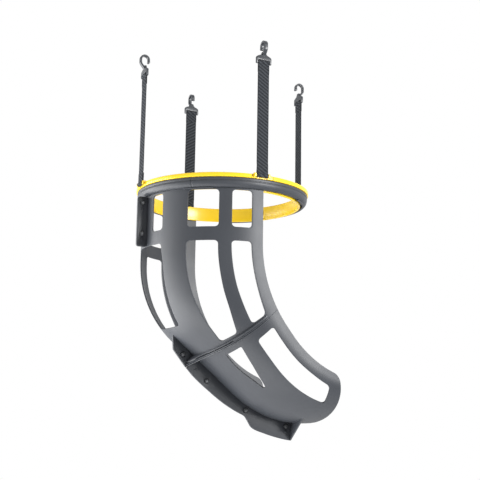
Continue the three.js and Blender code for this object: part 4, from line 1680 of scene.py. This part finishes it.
@dataclass
class TurningRing:
    """The grey ring that turns under the flange, in four overlapping quarters."""

    inner: float = 0.2078
    outer: float = 0.2292
    top: float = RING_TOP - 0.0108
    foot_radius: float = 0.2195
    groove_depth: float = 0.0011
    groove_share: float = 0.33
    socket_outer: float = 0.2161
    socket_inner: float = 0.2104
    tab_reach: float = 14.0
    tab_root: float = 6.0
    tab_thickness: float = 0.003
    tab_width: float = 0.005
    tab_rounding: float = 0.0007
    rounding: float = 0.0003
    seam: float = 0.0008
    gap: float = 0.0003
    foot_rise: float = 0.0038

    def profile(self) -> list[Spot]:
        """The ring's section.

        Returns:
            Radius and height points.
        """
        tall = self.top - BAND_FOOT
        groove = self.top - tall * self.groove_share
        inner_foot = RING_TOP - RING_HEIGHT + self.foot_rise
        socket_top = BAND_FOOT + PANEL_SOCKET + self.gap
        deep = self.outer - self.groove_depth
        return [
            (self.inner, inner_foot), (self.inner, self.top), (self.outer - 0.0014, self.top),
            (self.outer - 0.0004, self.top - 0.0004), (self.outer, self.top - 0.0014),
            (self.outer, groove + 0.0013), (self.outer - 0.0003, groove + 0.0009), (deep, groove + 0.0005),
            (deep, groove - 0.0005), (self.outer - 0.0005, groove - 0.0009),
            (self.outer - 0.0002, groove - 0.0013), (self.outer - 0.0008, BAND_FOOT + tall * 0.44),
            (self.outer - 0.0022, BAND_FOOT + tall * 0.26),
            (self.outer - 0.0046, BAND_FOOT + tall * 0.13), (self.foot_radius + 0.0022, BAND_FOOT + 0.0008),
            (self.foot_radius, BAND_FOOT), (self.socket_outer, BAND_FOOT), (self.socket_outer, socket_top),
            (self.socket_inner, socket_top), (self.socket_inner, inner_foot),
        ]

    def quarter(self, index: int) -> bpy.types.Object:
        """One quarter with its tab.

        Args:
            index: 1 to 4, as the nodes count them.

        Returns:
            The piece.
        """
        start = 45 + 90 * (index - 1)
        inset = math.degrees(self.seam / 2 / self.outer)
        body = swept(self.profile(), start + inset, start + 90 - inset, 72)
        soften(body, self.rounding, 2, 70)
        inner, high = self.foot_radius - self.tab_width * 0.6, BAND_FOOT - self.gap
        outer, low = inner + self.tab_width, high - self.tab_thickness
        section = [(inner, low), (outer, low), (outer, high), (inner, high)]
        tab = swept(section, start + 90 - self.tab_root, start + 90 + self.tab_reach, 20)
        soften(tab, self.tab_rounding, 3, 60)
        nodes = [f"turning_ring_{index}"]
        return finished(joined(body, tab), f"ring_quarter_{index}", "chute", Finishes().chute, nodes, 50)

    def build(self) -> list[bpy.types.Object]:
        """Builds the four quarters."""
        return [self.quarter(index) for index in range(1, 5)]


# Straps and hooks


@dataclass
class Strap:
    """One webbing strap, looped and sewn round the ring's bar and round the hook's bar."""

    place: Place
    width: float = 0.032
    thickness: float = 0.0017
    loop: float = 0.0043
    sewn: float = 0.026
    taper: float = 0.006
    cell: float = 0.0016
    skew: float = 0.0011
    skew_rows: int = 16
    ply_gap: float = 0.00005
    rounding: float = 0.0005
    tail: float = 0.001
    throat_share: float = 1.6
    loop_steps: int = 20
    columns: int = 8
    stitch_rows: Spot = (0.0125, 0.0225)
    stitch_lift: float = 0.00025
    stitch_edge: float = 0.42
    stitch_radius: float = 0.00032
    stitch_across: float = 0.0021
    stitch_along: float = 0.0018
    count_across: int = 9
    count_along: int = 4

    def path(self) -> list[Vector]:
        """The webbing's middle line, seen from the side.

        Returns:
            Points at even steps: x out from the bars' plane, z up.
        """
        low, high = RING_TOP - BAR_DROP, -HOOK_BAR_DROP
        half = self.thickness / 2 + self.ply_gap
        lift = math.asin(half / self.loop)
        throat, sweep = self.loop * self.throat_share, 2 * math.pi - 2 * lift

        def round_bar(height: float, first: float) -> list[Spot]:
            """The loop round a bar, from its first turn on."""
            turns = [first - sweep * step / self.loop_steps for step in range(self.loop_steps + 1)]
            return [(self.loop * math.sin(turn), height + self.loop * math.cos(turn)) for turn in turns]

        line = [
            (-half, low + self.sewn + self.tail), (-half, low + throat), *round_bar(low, -lift),
            (half, low + throat), (half, low + self.sewn), (0, low + self.sewn + self.taper),
            (0, high - self.sewn - self.taper), (half, high - self.sewn), (half, high - throat),
            *round_bar(high, math.pi - lift), (-half, high - throat), (-half, high - self.sewn - self.tail),
        ]
        return self.even([Vector((x, 0, z)) for x, z in line])

    def even(self, points: list[Vector]) -> list[Vector]:
        """The same line with points at even steps.

        Args:
            points: the line's bends.

        Returns:
            Its points.
        """
        made = [points[0]]
        for low, high in zip(points, points[1:]):
            count = max(1, math.ceil((high - low).length / self.cell))
            made += [low.lerp(high, step / count) for step in range(1, count + 1)]
        return made

    def ribbon(self) -> BMesh:
        """The webbing with its UV map in metres.

        Returns:
            The mesh.
        """
        path = self.path()
        lengths = [0.0]
        for low, high in zip(path, path[1:]):
            lengths.append(lengths[-1] + (high - low).length)
        bm, points = sheet(self.columns, len(path) - 1)
        uv = bm.loops.layers.uv.new("weave")
        for vert, share, along in points:
            row = round(along * (len(path) - 1))
            for loop in vert.link_loops:
                loop[uv].uv = (share * self.width, lengths[row])
            sideways = self.skew * max(self.skew_rows - row, 0) / self.skew_rows
            vert.co = Vector((path[row].x, (share - 0.5) * self.width + sideways, path[row].z))
        return bm

    def stitches(self) -> BMesh:
        """The sewn rows near both loops, seen on both faces.

        Returns:
            The mesh.
        """
        low, high = RING_TOP - BAR_DROP, -HOOK_BAR_DROP
        near, far = self.stitch_rows
        rows = [low + near, low + far, high - near, high - far]
        edge, proud = self.width * self.stitch_edge, self.thickness + self.stitch_lift
        faces = (-proud, proud)
        ends = []
        for z, x, step in product(rows, faces, range(self.count_across)):
            y = -edge + 2 * edge * step / self.count_across
            ends.append((Vector((x, y, z)), Vector((x, y + self.stitch_across, z))))
        for (z0, z1), x, y, step in product(
            ((rows[0], rows[1]), (rows[3], rows[2])), faces, (-edge, edge), range(self.count_along)
        ):
            z = z0 + (z1 - z0) * step / self.count_along
            ends.append((Vector((x, y, z)), Vector((x, y, z + self.stitch_along))))
        return joined(*(rod(self.stitch_radius, first, last, 8, 0.0001) for first, last in ends))

    def build(self) -> list[bpy.types.Object]:
        """Builds the webbing and its stitches.

        Returns:
            The two pieces.
        """
        label = self.place.label
        body = f"strap_{label}_body"
        move = self.place.turn @ Matrix.Translation((STRAP_RADIUS, 0, 0))
        ribbon, stitches = self.ribbon(), self.stitches()
        for bm in (ribbon, stitches):
            turned(bm, move)
        piece = finished(ribbon, f"webbing_{label}", body, Finishes().webbing, [f"strap_{label}"], 60)
        add_wall(piece, "thickness", self.thickness, 0)
        add_rounding(piece, "selvedge", self.rounding, 2, 60)
        return [piece, finished(stitches, f"stitches_{label}", body, Finishes().thread)]


@dataclass
class Hook:
    """One moulded hook: a curl for the hoop's rod, a neck, a flared base and a bar for the strap."""

    place: Place
    rod_circle: float = 0.2366
    rod_radius: float = 0.008
    throat: float = 0.0086
    thickness: float = 0.005
    width: float = 0.010
    tip_drop: float = 0.006
    straight: float = 0.008
    shoulder: float = 0.030
    neck: float = 0.018
    base_width: float = 0.043
    base_thickness: float = 0.006
    base_rounding: float = 0.0011
    rounding: float = 0.0014
    slot_clear: float = 0.0058
    arm_end: float = 0.004

    @property
    def centre(self) -> float:
        """The height of the curl's middle."""
        return self.rod_radius - self.throat

    @property
    def curl(self) -> float:
        """The radius of the curl's middle line."""
        return self.throat + self.thickness / 2

    def centre_line(self) -> list[Spot]:
        """The curl's and the neck's middle line.

        Returns:
            Its points in the XZ plane, from the tip to the base.
        """
        centre, curl = self.centre, self.curl
        line = [(self.rod_circle - curl, centre - self.tip_drop * (1 - step / 5)) for step in range(5)]
        for step in range(29):
            turn = math.pi * (1 - step / 28)
            line.append((self.rod_circle + curl * math.cos(turn), centre + curl * math.sin(turn)))
        start, end = self.rod_circle + curl, centre - self.straight
        for step in range(13):
            share = step / 12
            ease = share * share * (3 - 2 * share)
            line.append((start + (STRAP_RADIUS - start) * ease, end - (self.shoulder + end) * share))
        return [*line, (STRAP_RADIUS, -self.shoulder - self.thickness)]

    def stroke(self) -> BMesh:
        """The curl and the neck, even in thickness and rounded along their edges.

        Returns:
            The mesh.
        """
        line = self.centre_line()
        left, right = [], []
        for index, (x, z) in enumerate(line):
            before, after = line[max(index - 1, 0)], line[min(index + 1, len(line) - 1)]
            length = math.hypot(after[0] - before[0], after[1] - before[1])
            nx, nz = -(after[1] - before[1]) / length, (after[0] - before[0]) / length
            left.append((x + nx * self.thickness / 2, z + nz * self.thickness / 2))
            right.append((x - nx * self.thickness / 2, z - nz * self.thickness / 2))
        bm = plate([*left, *reversed(right)], -self.width / 2, self.width / 2)
        soften(bm, self.rounding, 3, 60)
        return bm

    def base(self) -> BMesh:
        """The flared base with its slot.

        Returns:
            The mesh.
        """
        half, inner = self.base_width / 2, SLOT_HALF
        slot_top = -HOOK_BAR_DROP + self.slot_clear
        low = -HOOK_BAR_DROP - self.arm_end
        shoulder = [
            (self.width / 2, -self.neck + 0.001), (self.width / 2 + 0.0012, -self.neck - 0.0035),
            (self.width / 2 + 0.0045, -self.neck - 0.0075), (half * 0.72, -self.shoulder + 0.0022),
            (half - 0.0028, -self.shoulder + 0.0004), (half - 0.0008, -self.shoulder - 0.0012),
            (half, -self.shoulder - 0.0036),
        ]
        outline = [
            *((-y, z) for y, z in shoulder), (-half, low), (-inner, low), (-inner, slot_top), (inner, slot_top),
            (inner, low), (half, low), *reversed(shoulder),
        ]
        bm = plate(outline, -self.base_thickness / 2, self.base_thickness / 2)
        soften(bm, self.base_rounding, 3, 40)
        turn = Matrix.Translation((STRAP_RADIUS, 0, 0)) @ Matrix.Rotation(math.radians(90), 4, "Z")
        turned(bm, turn)
        return bm

    def build(self) -> bpy.types.Object:
        """Builds the hook.

        Returns:
            The piece.
        """
        tip, low = self.rod_circle - self.curl, self.centre - self.tip_drop
        side = self.width / 2
        bead = rod(self.thickness * 0.62, Vector((tip, -side, low)), Vector((tip, side, low)), 28, 0.001)
        end = Vector((STRAP_RADIUS, SLOT_HALF + self.arm_end / 2, -HOOK_BAR_DROP))
        bar = rod(BAR_RADIUS, end - Vector((0, 2 * end.y, 0)), end, 32, 0)
        bm = joined(self.stroke(), self.base(), bead, bar)
        turned(bm, self.place.turn)
        label = self.place.label
        nodes = [f"hook_{label}"]
        return finished(bm, f"moulded_hook_{label}", f"hook_{label}_body", Finishes().hook, nodes, 44)


# Camera, light and backdrop

# Each softbox: its name, its place, what it faces, its width and height, and its power
STUDIO_LAMPS = (
    ("under_softbox", Vector((-0.4, -0.5, -2.9)), Vector((0.05, -0.05, -0.8)), (1.6, 1.2), 9.0),
    ("low_softbox", Vector((-1.6, -0.3, -2.6)), Vector((-0.05, -0.05, -0.74)), (1.8, 1.3), 22.9),
    ("back_softbox", Vector((-2.0, 1.2, -1.2)), Vector((-0.1, 0.0, -0.55)), (2.6, 2.8), 158.0),
    ("right_softbox", Vector((1.2, -2.25, -0.15)), Vector((0.1, 0.0, -0.6)), (0.7, 1.4), 90.8),
    ("top_softbox", Vector((-0.3, 0.3, 2.4)), Vector((0.0, 0.0, -0.5)), (2.2, 2.2), 3.0),
)


@dataclass
class Studio:
    """A white studio: the camera, the lamps, the pale floor and the backdrop."""

    camera_place: tuple[float, float, float] = (-1.0400, -2.2630, -0.9211)
    ahead: tuple[float, float, float] = (0.4286, 0.8856, 0.1794)
    right: tuple[float, float, float] = (0.8987, -0.4383, 0.0163)
    lens: float = 70.5
    floor_z: float = -3.05
    floor_glow: float = 0.42
    ambient: float = 0.15

    def camera(self) -> None:
        """Puts the camera where the photograph's was."""
        data = bpy.data.cameras.new("camera")
        data.lens = self.lens
        data.sensor_width = 36.0
        data.clip_end = 60.0
        camera = bpy.data.objects.new("camera", data)
        bpy.context.scene.collection.objects.link(camera)
        ahead = Vector(self.ahead).normalized()
        right = (Vector(self.right) - ahead * Vector(self.right).dot(ahead)).normalized()
        up = right.cross(ahead)
        turn = Matrix((right, up, -ahead)).transposed().to_4x4()
        camera.matrix_world = Matrix.Translation(self.camera_place) @ turn
        bpy.context.scene.camera = camera

    def lamp(self, name: str, place: Vector, target: Vector, size: tuple[float, float], power: float) -> None:
        """Adds one softbox.

        Args:
            name: its name.
            place: where it is.
            target: what it faces.
            size: its width and height.
            power: its power in watts.
        """
        data = bpy.data.lights.new(name, "AREA")
        data.shape = "RECTANGLE"
        data.size, data.size_y = size
        data.energy = power
        lamp = bpy.data.objects.new(name, data)
        bpy.context.scene.collection.objects.link(lamp)
        lamp.location = place
        lamp.visible_camera = False
        lamp.rotation_mode = "QUATERNION"
        lamp.rotation_quaternion = (target - place).to_track_quat("-Z", "Y")

    def world(self) -> None:
        """A white surround for the camera and the reflections, and a softer one for light."""
        world = bpy.data.worlds.new("surround")
        bpy.context.scene.world = world
        world.use_nodes = True
        nodes, links = world.node_tree.nodes, world.node_tree.links
        background = nodes["Background"]
        background.inputs["Color"].default_value = (1, 1, 1, 1)
        path = nodes.new("ShaderNodeLightPath")
        seen = path.outputs["Is Camera Ray"]
        for ray in ("Is Glossy Ray", "Is Transmission Ray"):
            either = nodes.new("ShaderNodeMath")
            either.operation = "MAXIMUM"
            links.new(seen, either.inputs[0])
            links.new(path.outputs[ray], either.inputs[1])
            seen = either.outputs[0]
        level = nodes.new("ShaderNodeMapRange")
        level.inputs["To Min"].default_value = self.ambient
        level.inputs["To Max"].default_value = 1.0
        links.new(seen, level.inputs["Value"])
        links.new(level.outputs["Result"], background.inputs["Strength"])

    def floor(self) -> None:
        """A pale floor at the court's level, which glows a little, as a lit studio floor does."""
        bm = bmesh.new()
        bmesh.ops.create_grid(bm, x_segments=8, y_segments=8, size=14.0)
        mesh = bpy.data.meshes.new("floor")
        bm.to_mesh(mesh)
        bm.free()
        graph = Graph("pale_floor")
        graph.own(Base_Color=(0.9, 0.9, 0.9, 1), Roughness=0.8)
        graph.own(Emission_Color=(1, 1, 1, 1), Emission_Strength=self.floor_glow)
        mesh.materials.append(graph.material)
        floor = bpy.data.objects.new("floor", mesh)
        bpy.context.scene.collection.objects.link(floor)
        mesh.transform(Matrix.Translation((0, 0, self.floor_z)))

    def build(self) -> None:
        """Builds the studio."""
        self.camera()
        self.world()
        self.floor()
        for lamp in STUDIO_LAMPS:
            self.lamp(*lamp)
        bpy.context.scene.view_settings.view_transform = "Standard"


def main() -> None:
    """Builds the studio and every piece in order."""
    logging.basicConfig(level=logging.INFO, format="%(name)s %(message)s")
    Studio().build()
    surface = ChuteSurface()
    places = SpinePlaces(surface)
    SupportRing().build()
    TurningRing().build()
    for side in Side:
        for plan in (UPPER, LOWER):
            ChutePanel(surface, plan, side).build()
        SpineWork(surface, side).build(places)
    for index, place in enumerate(places.bolts, 1):
        Fastening(index, place).build()
    for place in Place:
        Strap(place).build()
        Hook(place).build()
    bpy.context.view_layer.update()


if __name__ == "__main__":
    main()
